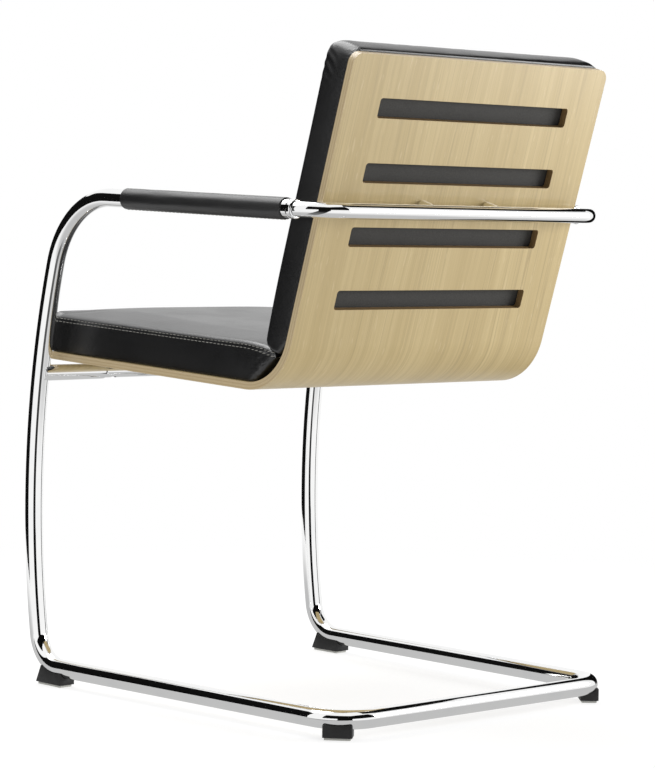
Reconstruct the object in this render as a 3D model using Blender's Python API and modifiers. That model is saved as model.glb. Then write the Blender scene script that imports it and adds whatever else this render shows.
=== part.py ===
"""Cantilever armchair: bent tube frame, slotted plywood shell and leather pads.

Metres, +Z up. The floor is z = 0, the sitter faces -Y and the sitter's left is +X.
"""

from math import asin, cos, pi, radians, sin, sqrt, tan

import bmesh
import bpy
from mathutils import Matrix, Vector

# Frame: one bent tube makes both arms, both legs and the base
CHAIR_DEPTH = 0.637
FRAME_HALF_GAUGE = 0.261  # middle of the chair to the centre line of an arm
TUBE_D = 0.025
TUBE_WALL = 0.002
RAIL_HEIGHT = 0.025  # centre line of the base above the floor
RAIL_TOE_IN = radians(1.64)
FOOT_BEND_R = 0.051
REAR_BEND_R = 0.051
LEG_APEX_HEIGHT = 0.258  # where the bowed leg is furthest forward
LEG_BOW_R = 1.25
LEG_LEAN = radians(14.9)  # at the upper end of the bow
LEG_TO_ARM = 0.005  # straight between the bow and the arm's bend
ARM_BEND_R = 0.12
ARM_SLOPE = radians(1.83)

# Arm sleeves, ferrules and the bow behind the back
SLEEVE_SETBACK = 0.034  # from the end of the arm's bend
SLEEVE_LENGTH = 0.3157
SLEEVE_WALL = 0.001
SLEEVE_HEM = 0.0006  # rounding of the sleeve's ends
TUBE_TAIL = 0.0105  # bare tube behind the sleeve
FERRULE_LENGTH = 0.008
FERRULE_LIP = 0.0003  # stands proud of the tube
FERRULE_ROUND = 0.0022
PLUG_DEPTH = 0.04  # bow inside the end of the tube
PLUG_CLEARANCE = 0.0005
BOW_STRAIGHT = 0.0014
BOW_BEND_R = 0.042

# Crossbar under the seat, with its sockets on the legs
CROSSBAR_HEIGHT = 0.431
CROSSBAR_SETBACK = 0.006  # behind the centre line of the leg
BAR_D = 0.019
SOCKET_WALL = 0.0012
SOCKET_REACH = 0.106  # from the centre of the leg to the mouth
SOCKET_DEPTH = 0.035
SOCKET_LAP = 0.003  # past the centre of the leg
SOCKET_TAPER = 0.004
MOUTH_LIP = 0.0004

# Plywood shell, seat and back in one
SHELL_T = 0.010
SHELL_SIDE_GAP = 0.0139  # between the shell and the tube beside it
SHELL_BEND_R = 0.075
SHELL_CORNER_R = 0.014
RECLINE = radians(16.7)
SEAT_SLOPE = radians(2.86)
SEAT_OVERHANG = 0.027  # in front of the crossbar
SLOTS_ABOVE_BOW = 2
SLOTS_BELOW_BOW = 2
SLOT_PITCH = 0.0847
SLOT_HEIGHT = 0.026
SLOT_MARGIN = 0.0606  # from the end of a slot to the shell's side
SLOT_CORNER_R = 0.004
TOP_BAND = 0.0684  # middle of the top slot to the top edge

# What holds the shell: pads on the crossbar, spacers on the bow, and their screws
MOUNT_GAP = 0.0077
MOUNT_LENGTH = 0.024
MOUNT_WIDTH = 0.021
MOUNT_INSET = 0.015  # from the mouth of the socket
MOUNT_SADDLE = 0.004
MOUNT_CORNER_R = 0.003
SPACER_GAP = 0.017
SPACER_D = 0.018
SPACER_X = 0.060
SPACER_SADDLE = 0.004
SCREW_D = 0.006
SCREW_HEAD_D = 0.012
SCREW_HEAD_H = 0.0033
SCREW_EDGE = 0.0012  # rounding of a screw head
SCREW_SINK = 0.0055  # depth of a seat screw's pocket in the crossbar
BOW_THREAD = 0.008
INSERT_D = 0.010
INSERT_COVER = 0.0025  # wood left above an insert

# Pads: a board each, held by strips, under a filled leather cover
PAD_STANDOFF = 0.002
PAD_SIDE_MARGIN = 0.005
PAD_EDGE_R = 0.004
PAD_DRAW_IN = 0.0025  # sides pulled in between the corners
BOARD_T = 0.004
BOARD_MARGIN = 0.014
BOARD_CORNER_R = 0.02
SEAT_PAD_SETBACK = 0.002
SEAT_PAD_EDGE = 0.0455  # height of the side panel
SEAT_PAD_CROWN = 0.012
SEAT_PAD_NOSE_R = 0.016
SEAT_PAD_CORNER_R = 0.022
SEAT_PAD_TAIL = 0.0105  # past the start of the shell's bend
SEAT_PAD_REAR_GAP = 0.018  # to the face of the back
SEAT_PAD_REAR_DROP = 0.0115  # of the rearmost point below the seam
SEAT_PAD_REAR_ROUND = 0.006
SEAT_PAD_DIP = 0.02  # where the seam starts to fall towards the rear
SEAT_PAD_DIP_R = 0.275
BACK_PAD_T = 0.047
BACK_PAD_CROWN = 0.008
BACK_PAD_LAP = 0.003  # above the shell
BACK_PAD_FOOT_R = 0.030
BACK_PAD_HEAD_R = 0.018
BACK_PAD_NAPE_R = 0.008
BACK_PAD_TAIL = 0.012  # bottom edge off the line of the back
BACK_PAD_CORNER_R = 0.018
PAD_GAP = 0.0012  # between seat pad and back pad
STRIP_LENGTH = 0.12
STRIP_WIDTH = 0.03
STRIP_X = 0.11
STRIP_CORNER_R = 0.004
SEAT_STRIP_INSET = 0.09  # from the ends of the seat's board

# Glides: saddles pegged to the tube, with soles that stand on the floor
GLIDE_WIDTH = 0.025
GLIDE_DROP = 0.006  # upper edge below the centre line of the tube
FRONT_GLIDE_NOSE = 0.040  # in front of the end of the foot bend
FRONT_GLIDE_TAIL = 0.014
FRONT_GLIDE_SWEEP = radians(31)  # up the foot bend
REAR_GLIDE_LENGTH = 0.038
REAR_GLIDE_TURN = radians(4.8)  # from the middle of the corner towards the side rail
GLIDE_CORNER_R = 0.002
SOLE_T = 0.003
SOLE_INSET = 0.002
PEG_D = 0.006
PEG_DEPTH = 0.005

# Fits and facets
FIT = 0.0003  # between pieces that touch
OVERCUT = 0.002  # cutters past the faces they open
MERGE = 0.00001
TUBE_RING = 6  # bevel resolution, 16 sides
ROUND_STEPS = 16
SMALL_STEPS = 12
BEND_STEPS = 10
CORNER_STEPS = 4
PAD_ROWS = 14
PAD_COLUMNS = 8
SHARP = radians(35)

# Sizes that follow
TUBE_R = TUBE_D / 2
BORE_R = TUBE_R - TUBE_WALL
BOW_R = BORE_R - PLUG_CLEARANCE
BAR_R = BAR_D / 2
SCREW_R = SCREW_D / 2
HEAD_R = SCREW_HEAD_D / 2
SHELL_HALF = FRAME_HALF_GAUGE - TUBE_R - SHELL_SIDE_GAP
PAD_HALF = SHELL_HALF - PAD_SIDE_MARGIN
SLOT_HALF = SHELL_HALF - SLOT_MARGIN
MOUTH_X = FRAME_HALF_GAUGE - SOCKET_REACH
MOUNT_X = MOUTH_X - MOUNT_INSET
BACK_RISE = (SLOTS_ABOVE_BOW - 0.5) * SLOT_PITCH + TOP_BAND
SIDES = {"left": 1, "right": -1}
ACROSS = Vector((1, 0, 0))
ALONG = Vector((0, 1, 0))
UP = Vector((0, 0, 1))


def spaced(start, end, steps):
    return [start + (end - start) * i / steps for i in range(steps + 1)]


def arc(centre, radius, start, end, steps=BEND_STEPS):
    """Points of an arc in a plane, by angle from its first axis to its second."""
    return [centre + radius * Vector((cos(t), sin(t))) for t in spaced(start, end, steps)]


def lifted(point, x=0.0):
    """A point (y, z) of the side view, at x."""
    return Vector((x, point[0], point[1]))


def placed(origin, y, z):
    """Matrix of a frame from its origin and two of its axes."""
    matrix = Matrix((y.cross(z), y, z)).transposed().to_4x4()
    matrix.translation = origin
    return matrix


def shifted(matrix, x=0.0, y=0.0, z=0.0):
    return matrix @ Matrix.Translation((x, y, z))


# Side view of the frame, as (y, z)
apex = Vector((TUBE_R - CHAIR_DEPTH / 2, LEG_APEX_HEIGHT))
leg_centre = apex + Vector((LEG_BOW_R, 0))
foot_angle = asin((LEG_APEX_HEIGHT - FOOT_BEND_R - RAIL_HEIGHT) / (LEG_BOW_R - FOOT_BEND_R))
foot_centre = leg_centre - (LEG_BOW_R - FOOT_BEND_R) * Vector((cos(foot_angle), sin(foot_angle)))
leg_top = leg_centre + LEG_BOW_R * Vector((-cos(LEG_LEAN), sin(LEG_LEAN)))
arm_bend = leg_top + LEG_TO_ARM * Vector((sin(LEG_LEAN), cos(LEG_LEAN)))
arm_centre = arm_bend + ARM_BEND_R * Vector((cos(LEG_LEAN), -sin(LEG_LEAN)))
arm_start = arm_centre + ARM_BEND_R * Vector((sin(ARM_SLOPE), cos(ARM_SLOPE)))
arm_along = Vector((cos(ARM_SLOPE), -sin(ARM_SLOPE)))

# Stations along the arm, from the end of its bend
sleeve_rear = SLEEVE_SETBACK + SLEEVE_LENGTH
tube_end = sleeve_rear + TUBE_TAIL
ferrule_front = tube_end + FIT
bow_bend = ferrule_front + FERRULE_LENGTH + BOW_STRAIGHT
bow_reach = bow_bend + BOW_BEND_R


def on_arm(station):
    return arm_start + station * arm_along


# Corner of the base, in plan
rear_y = CHAIR_DEPTH / 2 - TUBE_R
corner_y = rear_y - REAR_BEND_R
corner_start_y = corner_y + REAR_BEND_R * sin(RAIL_TOE_IN)
corner_start_x = FRAME_HALF_GAUGE - tan(RAIL_TOE_IN) * (corner_start_y - foot_centre.x)
corner_centre = Vector((corner_start_x - REAR_BEND_R * cos(RAIL_TOE_IN), corner_y))
glide_turn = (RAIL_TOE_IN + pi / 2) / 2 - REAR_GLIDE_TURN

# Crossbar and bow, as (y, z)
leg_angle = asin((CROSSBAR_HEIGHT - LEG_APEX_HEIGHT) / LEG_BOW_R)
leg_at_bar = leg_centre + LEG_BOW_R * Vector((-cos(leg_angle), sin(leg_angle)))
bar = leg_at_bar + Vector((CROSSBAR_SETBACK, 0))
bow = on_arm(bow_reach)

# Shell, as (y, z): the seat stands on the crossbar, the back leans on the bow
seat_along = Vector((cos(SEAT_SLOPE), -sin(SEAT_SLOPE)))
seat_up = Vector((sin(SEAT_SLOPE), cos(SEAT_SLOPE)))
back_up = Vector((sin(RECLINE), cos(RECLINE)))
rearward = Vector((cos(RECLINE), -sin(RECLINE)))
seat_over_bar = bar + (BAR_R + MOUNT_GAP + SHELL_T) * seat_up
back_at_bow = bow - (BOW_R + SPACER_GAP + SHELL_T) * rearward
seat_run = (back_at_bow - seat_over_bar).cross(back_up) / seat_along.cross(back_up)
shell_turn = pi / 2 - RECLINE + SEAT_SLOPE
bend_run = SHELL_BEND_R * tan(shell_turn / 2)
seat_end = seat_over_bar + (seat_run - bend_run) * seat_along
back_start = seat_over_bar + seat_run * seat_along + bend_run * back_up
bend_centre = seat_end + SHELL_BEND_R * seat_up
shell_front = seat_over_bar - SEAT_OVERHANG * seat_along
shell_top = back_at_bow + BACK_RISE * back_up
seat_flat = (seat_end - shell_front).length

# Frames: seat from the start of the bend, back from the bow's height, bar on its axis
SEAT = placed(lifted(seat_end), lifted(seat_along), lifted(seat_up))
BACK = placed(lifted(back_at_bow), lifted(back_up), lifted(-rearward))
BAR = placed(lifted(bar), lifted(seat_along), lifted(seat_up))

# Collections and the empty that carries the parts
for old in list(bpy.data.objects):
    bpy.data.objects.remove(old)
PARTS = bpy.data.collections.new("cantilever_chair")
CUTTERS = bpy.data.collections.new("cutters")
for collection in (PARTS, CUTTERS):
    bpy.context.scene.collection.children.link(collection)
ROOT = bpy.data.objects.new("chair_origin", None)
PARTS.objects.link(ROOT)


def finish(name, colour, roughness, metallic=0.0):
    material = bpy.data.materials.new(name)
    material.use_nodes = True
    shader = material.node_tree.nodes["Principled BSDF"]
    shader.inputs["Base Color"].default_value = (*colour, 1)
    shader.inputs["Roughness"].default_value = roughness
    shader.inputs["Metallic"].default_value = metallic
    return material


CHROME = finish("chrome", (0.83, 0.83, 0.82), 0.06, 1)
STEEL = finish("zinced_steel", (0.62, 0.62, 0.6), 0.35, 1)
OAK = finish("oak_plywood", (0.63, 0.49, 0.29), 0.45)
LEATHER = finish("black_leather", (0.018, 0.018, 0.02), 0.42)
SLEEVE_LEATHER = finish("sleeve_leather", (0.022, 0.022, 0.023), 0.5)
BOARD = finish("dark_board", (0.09, 0.088, 0.084), 0.9)
STRIP = finish("black_strip", (0.015, 0.015, 0.015), 0.95)
BLACK_PLASTIC = finish("black_plastic", (0.02, 0.02, 0.02), 0.5)
SOLE = finish("grey_sole", (0.55, 0.55, 0.52), 0.6)


def baked(guide):
    """Mesh of a guide as it is evaluated, welded, with its faces outwards."""
    bpy.context.scene.collection.objects.link(guide)
    graph = bpy.context.evaluated_depsgraph_get()
    mesh = bpy.data.meshes.new_from_object(guide.evaluated_get(graph))
    bpy.data.objects.remove(guide)
    bm = bmesh.new()
    bm.from_mesh(mesh)
    bmesh.ops.remove_doubles(bm, verts=bm.verts, dist=MERGE)
    bmesh.ops.recalc_face_normals(bm, faces=bm.faces)
    bm.to_mesh(mesh)
    bm.free()
    return mesh


def tube(points, radius):
    curve = bpy.data.curves.new("tube", "CURVE")
    curve.dimensions = "3D"
    curve.bevel_depth = radius
    curve.bevel_resolution = TUBE_RING
    curve.use_fill_caps = True
    spline = curve.splines.new("POLY")
    spline.points.add(len(points) - 1)
    for knot, point in zip(spline.points, points):
        knot.co = (*point, 1)
    return baked(bpy.data.objects.new("tube", curve))


def plate(outline, low, high):
    """Flat outline in the XY plane, from low to high in Z."""
    curve = bpy.data.curves.new("plate", "CURVE")
    curve.dimensions = "2D"
    curve.fill_mode = "BOTH"
    curve.extrude = (high - low) / 2
    spline = curve.splines.new("POLY")
    spline.points.add(len(outline) - 1)
    for knot, point in zip(spline.points, outline):
        knot.co = (point[0], point[1], 0, 1)
    spline.use_cyclic_u = True
    mesh = baked(bpy.data.objects.new("plate", curve))
    mesh.transform(Matrix.Translation((0, 0, (low + high) / 2)))
    return mesh


def profile(outline, half_width):
    """Outline in the YZ plane, as wide as 2 half_width in X."""
    mesh = plate(outline, -half_width, half_width)
    mesh.transform(Matrix(((0, 0, 1, 0), (1, 0, 0, 0), (0, 1, 0, 0), (0, 0, 0, 1))))
    return mesh


def turned(points, steps=SMALL_STEPS):
    """Profile of (radius, height) turned about Z, closed unless it starts on the axis."""
    mesh = bpy.data.meshes.new("turned")
    edges = [(i, i + 1) for i in range(len(points) - 1)]
    if points[0][0] > 0:
        edges.append((len(points) - 1, 0))
    mesh.from_pydata([(r, 0, z) for r, z in points], edges, [])
    guide = bpy.data.objects.new("turned", mesh)
    screw = guide.modifiers.new("Screw", "SCREW")
    screw.steps = steps
    screw.render_steps = steps
    screw.use_merge_vertices = True
    screw.merge_threshold = MERGE
    return baked(guide)


def rod(radius, low, high, steps=SMALL_STEPS):
    mesh = bpy.data.meshes.new("rod")
    bm = bmesh.new()
    middle = Matrix.Translation((0, 0, (low + high) / 2))
    bmesh.ops.create_cone(bm, cap_ends=True, segments=steps, radius1=radius, radius2=radius,
                          depth=high - low, matrix=middle)
    bm.to_mesh(mesh)
    bm.free()
    return mesh


def bore(radius, steps=SMALL_STEPS):
    """Radius of a faceted hole whose flats clear a round piece by FIT."""
    return (radius + FIT) / cos(pi / steps)


def rounded(width, length, radius):
    """Outline of a rectangle with round corners, about the origin."""
    x = width / 2 - radius
    y = length / 2 - radius
    points = []
    for quarter, (sx, sy) in enumerate(((1, 1), (-1, 1), (-1, -1), (1, -1))):
        start = quarter * pi / 2
        points += arc(Vector((sx * x, sy * y)), radius, start, start + pi / 2, CORNER_STEPS)
    return points


def part(name, mesh, material, place=Matrix()):
    mesh.name = name
    mesh.materials.clear()
    mesh.materials.append(material)
    mesh.shade_smooth()
    mesh.set_sharp_from_angle(angle=SHARP)
    obj = bpy.data.objects.new(name, mesh)
    PARTS.objects.link(obj)
    obj.parent = ROOT
    obj.matrix_local = place
    return obj


def tool(name, mesh, place=Matrix()):
    obj = bpy.data.objects.new(name, mesh)
    CUTTERS.objects.link(obj)
    obj.hide_render = True
    obj.display_type = "WIRE"
    obj.matrix_local = place
    return obj


def worked(obj, other, operation="DIFFERENCE"):
    step = obj.modifiers.new(other.name, "BOOLEAN")
    step.operation = operation
    step.solver = "EXACT"
    step.object = other


# Frame tube, from the rear end of the left arm round to that of the right
arm_line = arc(arm_centre, ARM_BEND_R, pi / 2 - ARM_SLOPE, pi - LEG_LEAN)
leg_line = arc(leg_centre, LEG_BOW_R, pi - LEG_LEAN, pi + foot_angle)
foot_line = arc(foot_centre, FOOT_BEND_R, pi + foot_angle, 1.5 * pi)[1:]
corner_line = arc(corner_centre, REAR_BEND_R, RAIL_TOE_IN, pi / 2)
base_line = [lifted(p, FRAME_HALF_GAUGE) for p in leg_line + foot_line]
base_line += [Vector((p.x, p.y, RAIL_HEIGHT)) for p in corner_line]


def both_sides(points):
    """A left-hand route carried on through its mirror image."""
    return points + [Vector((-p.x, p.y, p.z)) for p in reversed(points)]


def frame_route(end):
    return both_sides([lifted(p, FRAME_HALF_GAUGE) for p in [on_arm(end)] + arm_line] + base_line)


frame_tube = part("frame_tube", tube(frame_route(tube_end), TUBE_R), CHROME)
worked(frame_tube, tool("frame_bore", tube(frame_route(tube_end + OVERCUT), BORE_R)))
base_cope = tool("base_cope", tube(both_sides(base_line), bore(TUBE_R, ROUND_STEPS)))

# Rear bow, plugged into the ends of the frame tube
plug_end = tube_end - PLUG_DEPTH
bow_corner = arc(Vector((FRAME_HALF_GAUGE - BOW_BEND_R, bow_bend)), BOW_BEND_R, 0, pi / 2)


def bow_route(end):
    bend = [lifted(on_arm(p.y), p.x) for p in bow_corner]
    return both_sides([lifted(on_arm(end), FRAME_HALF_GAUGE)] + bend)


rear_bow = part("rear_bow", tube(bow_route(plug_end), BOW_R), CHROME)
worked(rear_bow, tool("bow_bore", tube(bow_route(plug_end - OVERCUT), BOW_R - TUBE_WALL)))
bow_cut = rod(bore(BOW_R, ROUND_STEPS), -SHELL_HALF, SHELL_HALF, ROUND_STEPS)
bow_cope = tool("bow_cope", bow_cut, placed(lifted(bow), UP, ACROSS))

# Crossbar
bar_half = MOUTH_X + SOCKET_DEPTH - FIT
bar_frame = placed(lifted(bar), UP, ACROSS)
seat_crossbar = part("seat_crossbar", rod(BAR_R, -bar_half, bar_half, ROUND_STEPS), CHROME, bar_frame)
bar_cope = tool("bar_cope", rod(bore(BAR_R, ROUND_STEPS), -bar_half, bar_half, ROUND_STEPS), bar_frame)

# Plywood shell
half_turn = -pi / 2 - SEAT_SLOPE
shell_outline = [shell_front] + arc(bend_centre, SHELL_BEND_R, half_turn, -RECLINE) + [shell_top]
shell_outline += [shell_top + SHELL_T * rearward]
shell_outline += arc(bend_centre, SHELL_BEND_R + SHELL_T, -RECLINE, half_turn)
shell_outline += [shell_front - SHELL_T * seat_up]


def opened_caps(bm):
    """Takes the triangulation out of the flat ends across X."""
    flat = [e for e in bm.edges if all(abs(f.normal.x) > cos(SHARP) for f in e.link_faces)]
    bmesh.ops.dissolve_edges(bm, edges=flat, use_verts=False)


def shell_mesh():
    mesh = profile(shell_outline, SHELL_HALF)
    bm = bmesh.new()
    bm.from_mesh(mesh)
    opened_caps(bm)
    ends = [lifted(p) for p in (shell_front, shell_top)]

    def at_corner(edge):
        if any(abs(abs(v.co.x) - SHELL_HALF) > MERGE for v in edge.verts):
            return False
        middle = sum((v.co for v in edge.verts), Vector()) / 2
        return any((Vector((0, middle.y, middle.z)) - end).length < SHELL_T for end in ends)

    corners = [e for e in bm.edges if at_corner(e) and e.calc_length() < SHELL_T + MERGE]
    bmesh.ops.bevel(bm, geom=corners, offset=SHELL_CORNER_R, segments=CORNER_STEPS + 2,
                    profile=0.5, affect="EDGES")
    bm.to_mesh(mesh)
    bm.free()
    return mesh


shell = part("plywood_shell", shell_mesh(), OAK)
slot_shape = rounded(2 * SLOT_HALF, SLOT_HEIGHT, SLOT_CORNER_R)
for index in range(-SLOTS_BELOW_BOW, SLOTS_ABOVE_BOW):
    slot = plate(slot_shape, -SHELL_T - OVERCUT, OVERCUT)
    worked(shell, tool("slot_cut", slot, shifted(BACK, y=(index + 0.5) * SLOT_PITCH)))

# Screw heads are turned with the head's top at z = 0 and the shank below it
back_shank = SHELL_T + SPACER_GAP + BOW_THREAD
back_screw = turned([(0, -FIT), (HEAD_R, -FIT), (SCREW_R, -FIT - SCREW_HEAD_H),
                     (SCREW_R, -back_shank), (0, -back_shank)])
sink_r = bore(HEAD_R)
hole_r = bore(SCREW_R)
sink = turned([(0, OVERCUT), (sink_r, OVERCUT), (sink_r, -FIT), (hole_r, -FIT - SCREW_HEAD_H),
               (hole_r, -SHELL_T - OVERCUT), (0, -SHELL_T - OVERCUT)])
thread = rod(hole_r, -back_shank - FIT, OVERCUT - SHELL_T - SPACER_GAP)
spacer_r = SPACER_D / 2
spacer_end = -SHELL_T - SPACER_GAP - SPACER_SADDLE
spacer_ring = [(spacer_r, -SHELL_T - FIT), (spacer_r, spacer_end),
               (hole_r, spacer_end), (hole_r, -SHELL_T - FIT)]
back_places = {name: shifted(BACK, x=side * SPACER_X) for name, side in SIDES.items()}
for name, place in back_places.items():
    part("back_screw_" + name, back_screw.copy(), STEEL, place)
    worked(shell, tool("back_screw_hole", sink, place))
    worked(rear_bow, tool("bow_thread", thread, place))
    spacer = part("back_spacer_" + name, turned(spacer_ring, ROUND_STEPS), CHROME, place)
    worked(spacer, bow_cope)

# Seat screws come up through the crossbar into inserts in the shell
underside = BAR_R + MOUNT_GAP
insert_top = underside + SHELL_T - INSERT_COVER
head_seat = -BAR_R + SCREW_SINK - FIT
head_low = head_seat - SCREW_HEAD_H
seat_screw = turned([(0, insert_top), (SCREW_R, insert_top), (SCREW_R, head_seat), (HEAD_R, head_seat),
                     (HEAD_R, head_low + SCREW_EDGE), (HEAD_R - SCREW_EDGE, head_low), (0, head_low)])
insert_r = INSERT_D / 2
insert = turned([(insert_r, insert_top), (insert_r, underside + FIT),
                 (hole_r, underside + FIT), (hole_r, insert_top)])
pocket = rod(bore(insert_r), underside - OVERCUT, insert_top + FIT)
shank_hole = rod(hole_r, -BAR_R - OVERCUT, underside + OVERCUT)
head_pocket = rod(bore(HEAD_R), -BAR_R - OVERCUT, -BAR_R + SCREW_SINK)
mount_shape = rounded(MOUNT_LENGTH, MOUNT_WIDTH, MOUNT_CORNER_R)
seat_places = {name: shifted(BAR, x=side * MOUNT_X) for name, side in SIDES.items()}
for name, place in seat_places.items():
    part("seat_screw_" + name, seat_screw.copy(), STEEL, place)
    part("seat_insert_" + name, insert.copy(), STEEL, place)
    hole = tool("seat_screw_hole", shank_hole, place)
    worked(shell, tool("insert_pocket", pocket, place))
    worked(seat_crossbar, hole)
    worked(seat_crossbar, tool("seat_screw_pocket", head_pocket, place))
    block = plate(mount_shape, BAR_R - MOUNT_SADDLE, underside - FIT)
    mount = part("seat_mount_pad_" + name, block, BLACK_PLASTIC, place)
    worked(mount, bar_cope)
    worked(mount, hole)

# Sockets of the crossbar, coped to the legs
socket_bore = bore(BAR_R, ROUND_STEPS)
socket_r = socket_bore + SOCKET_WALL
socket_length = SOCKET_REACH + SOCKET_LAP
socket_profile = [(0, socket_length), (socket_r, socket_length), (socket_r, SOCKET_TAPER),
                  (socket_bore + MOUTH_LIP, 0), (socket_bore, 0), (socket_bore, SOCKET_DEPTH),
                  (0, SOCKET_DEPTH)]
leg_along = lifted(Vector((sin(leg_angle), cos(leg_angle))))
leg_cope = rod(bore(TUBE_R, ROUND_STEPS), -socket_r - TUBE_D, socket_r + TUBE_D, ROUND_STEPS)
for name, side in SIDES.items():
    mouth = placed(lifted(bar, side * MOUTH_X), UP, side * ACROSS)
    socket = part("crossbar_socket_" + name, turned(socket_profile, ROUND_STEPS), CHROME, mouth)
    leg_frame = placed(lifted(leg_at_bar, side * FRAME_HALF_GAUGE), ACROSS, leg_along)
    worked(socket, tool("leg_cope_" + name, leg_cope, leg_frame))

# Arm sleeves and ferrules, turned about the arm
sleeve_in = bore(TUBE_R, ROUND_STEPS)
sleeve_out = sleeve_in + SLEEVE_WALL
sleeve_profile = [(sleeve_out - SLEEVE_HEM, SLEEVE_LENGTH), (sleeve_out, SLEEVE_LENGTH - SLEEVE_HEM),
                  (sleeve_out, SLEEVE_HEM), (sleeve_out - SLEEVE_HEM, 0), (sleeve_in, 0),
                  (sleeve_in, SLEEVE_LENGTH)]
ferrule_in = bore(BOW_R, ROUND_STEPS)
ferrule_out = TUBE_R + FERRULE_LIP
ferrule_crest = FERRULE_LENGTH - FERRULE_ROUND
ferrule_profile = [(ferrule_in, FERRULE_LENGTH), (ferrule_out - FERRULE_ROUND, FERRULE_LENGTH)]
ferrule_profile += [tuple(p) for p in arc(Vector((ferrule_out - FERRULE_ROUND, ferrule_crest)),
                                          FERRULE_ROUND, pi / 2, 0, CORNER_STEPS)[1:]]
ferrule_profile += [(ferrule_out, FERRULE_ROUND / 2), (ferrule_out - FERRULE_ROUND / 2, 0), (ferrule_in, 0)]
arm_up = lifted(Vector((sin(ARM_SLOPE), cos(ARM_SLOPE))))


def arm_frame(station, side):
    return placed(lifted(on_arm(station), side * FRAME_HALF_GAUGE), arm_up, lifted(arm_along))


for name, side in SIDES.items():
    sleeve = turned(sleeve_profile, ROUND_STEPS)
    part("arm_sleeve_" + name, sleeve, SLEEVE_LEATHER, arm_frame(SLEEVE_SETBACK, side))
    ferrule = turned(ferrule_profile, ROUND_STEPS)
    part("ferrule_" + name, ferrule, CHROME, arm_frame(ferrule_front, side))

# Glides and soles
rail_low = RAIL_HEIGHT - TUBE_R
glide_low = SOLE_T + FIT
glide_top = RAIL_HEIGHT - GLIDE_DROP
foot_end = foot_centre.x
front_outline = arc(foot_centre, FOOT_BEND_R + GLIDE_DROP, 1.5 * pi - FRONT_GLIDE_SWEEP, 1.5 * pi)
front_outline += [(foot_end + FRONT_GLIDE_TAIL, glide_top), (foot_end + FRONT_GLIDE_TAIL, glide_low),
                  (foot_end - FRONT_GLIDE_NOSE, glide_low)]
front_length = FRONT_GLIDE_NOSE + FRONT_GLIDE_TAIL
front_middle = foot_end + (FRONT_GLIDE_TAIL - FRONT_GLIDE_NOSE) / 2
rear_shape = rounded(REAR_GLIDE_LENGTH, GLIDE_WIDTH, GLIDE_CORNER_R)
peg = rod(PEG_D / 2, glide_low + OVERCUT, rail_low + PEG_DEPTH)
peg_hole = rod(bore(PEG_D / 2), 0, rail_low + PEG_DEPTH + FIT)


def sole_plate(length):
    return plate(rounded(GLIDE_WIDTH - 2 * SOLE_INSET, length - 2 * SOLE_INSET, GLIDE_CORNER_R), 0, SOLE_T)


def pegged(name, body, place, peg_place):
    """Glide coped to the tube, with its peg in the tube's hole."""
    glide = part(name, body, BLACK_PLASTIC, place)
    worked(glide, base_cope)
    worked(glide, tool(name + "_peg", peg, peg_place), "UNION")
    worked(frame_tube, tool(name + "_hole", peg_hole, peg_place))


for name, side in SIDES.items():
    left_x = side * FRAME_HALF_GAUGE
    front_peg = Matrix.Translation((left_x, foot_end + FRONT_GLIDE_TAIL / 2, 0))
    front_body = profile(front_outline, GLIDE_WIDTH / 2)
    pegged("front_glide_" + name, front_body, Matrix.Translation((left_x, 0, 0)), front_peg)
    front_sole = Matrix.Translation((left_x, front_middle, 0))
    part("front_sole_" + name, sole_plate(front_length), SOLE, front_sole)
    outward = Vector((side * cos(glide_turn), sin(glide_turn), 0))
    rear_point = Vector((side * corner_centre.x, corner_centre.y, 0)) + REAR_BEND_R * outward
    rear_frame = placed(rear_point, outward, UP)
    pegged("rear_glide_" + name, plate(rear_shape, glide_low, glide_top), rear_frame, rear_frame)
    across = rear_frame @ Matrix.Rotation(pi / 2, 4, "Z")
    part("rear_sole_" + name, sole_plate(REAR_GLIDE_LENGTH), SOLE, across)


# Pads
def corner_inset(distance, radius):
    """How far a round corner has drawn back at a distance from the end."""
    if distance >= radius:
        return 0.0
    return radius - sqrt(max(0.0, radius ** 2 - (radius - distance) ** 2))


def pad_mesh(outline, crown, low, high, corner_r):
    """Outline filled across X, edges rounded, then crowned and drawn in.

    low and high are the (y, z) of the pad's flat side and of its seams, corner to corner.
    """
    mesh = profile(outline, PAD_HALF)
    bm = bmesh.new()
    bm.from_mesh(mesh)
    opened_caps(bm)
    rims = [e for e in bm.edges if len({abs(f.normal.x) > cos(SHARP) for f in e.link_faces}) == 2]
    bmesh.ops.bevel(bm, geom=rims, offset=PAD_EDGE_R, segments=2, profile=0.5, affect="EDGES")
    middle = (low[0] + high[0]) / 2
    reach = (high[0] - low[0]) / 2
    cuts = [(Vector((x, 0, 0)), ACROSS) for x in spaced(-PAD_HALF, PAD_HALF, PAD_COLUMNS)[1:-1]]
    cuts += [(Vector((0, middle + reach * cos(t), 0)), ALONG) for t in spaced(0, pi, PAD_ROWS)[1:-1]]
    for point, normal in cuts:
        everything = bm.verts[:] + bm.edges[:] + bm.faces[:]
        bmesh.ops.bisect_plane(bm, geom=everything, plane_co=point, plane_no=normal)
    for vert in bm.verts:
        along = min(1.0, abs(vert.co.y - middle) / reach)
        aside = min(1.0, abs(vert.co.x) / PAD_HALF)
        depth = (vert.co.z - low[1]) / (high[1] - low[1])
        inset = corner_inset(reach * (1 - along), corner_r) + PAD_DRAW_IN * (1 - along ** 2)
        vert.co.z += crown * (1 - aside ** 2) * (1 - along ** 4) * max(0.0, depth)
        vert.co.x *= 1 - inset / PAD_HALF
    bmesh.ops.recalc_face_normals(bm, faces=bm.faces)
    bm.to_mesh(mesh)
    bm.free()
    return mesh


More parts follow.
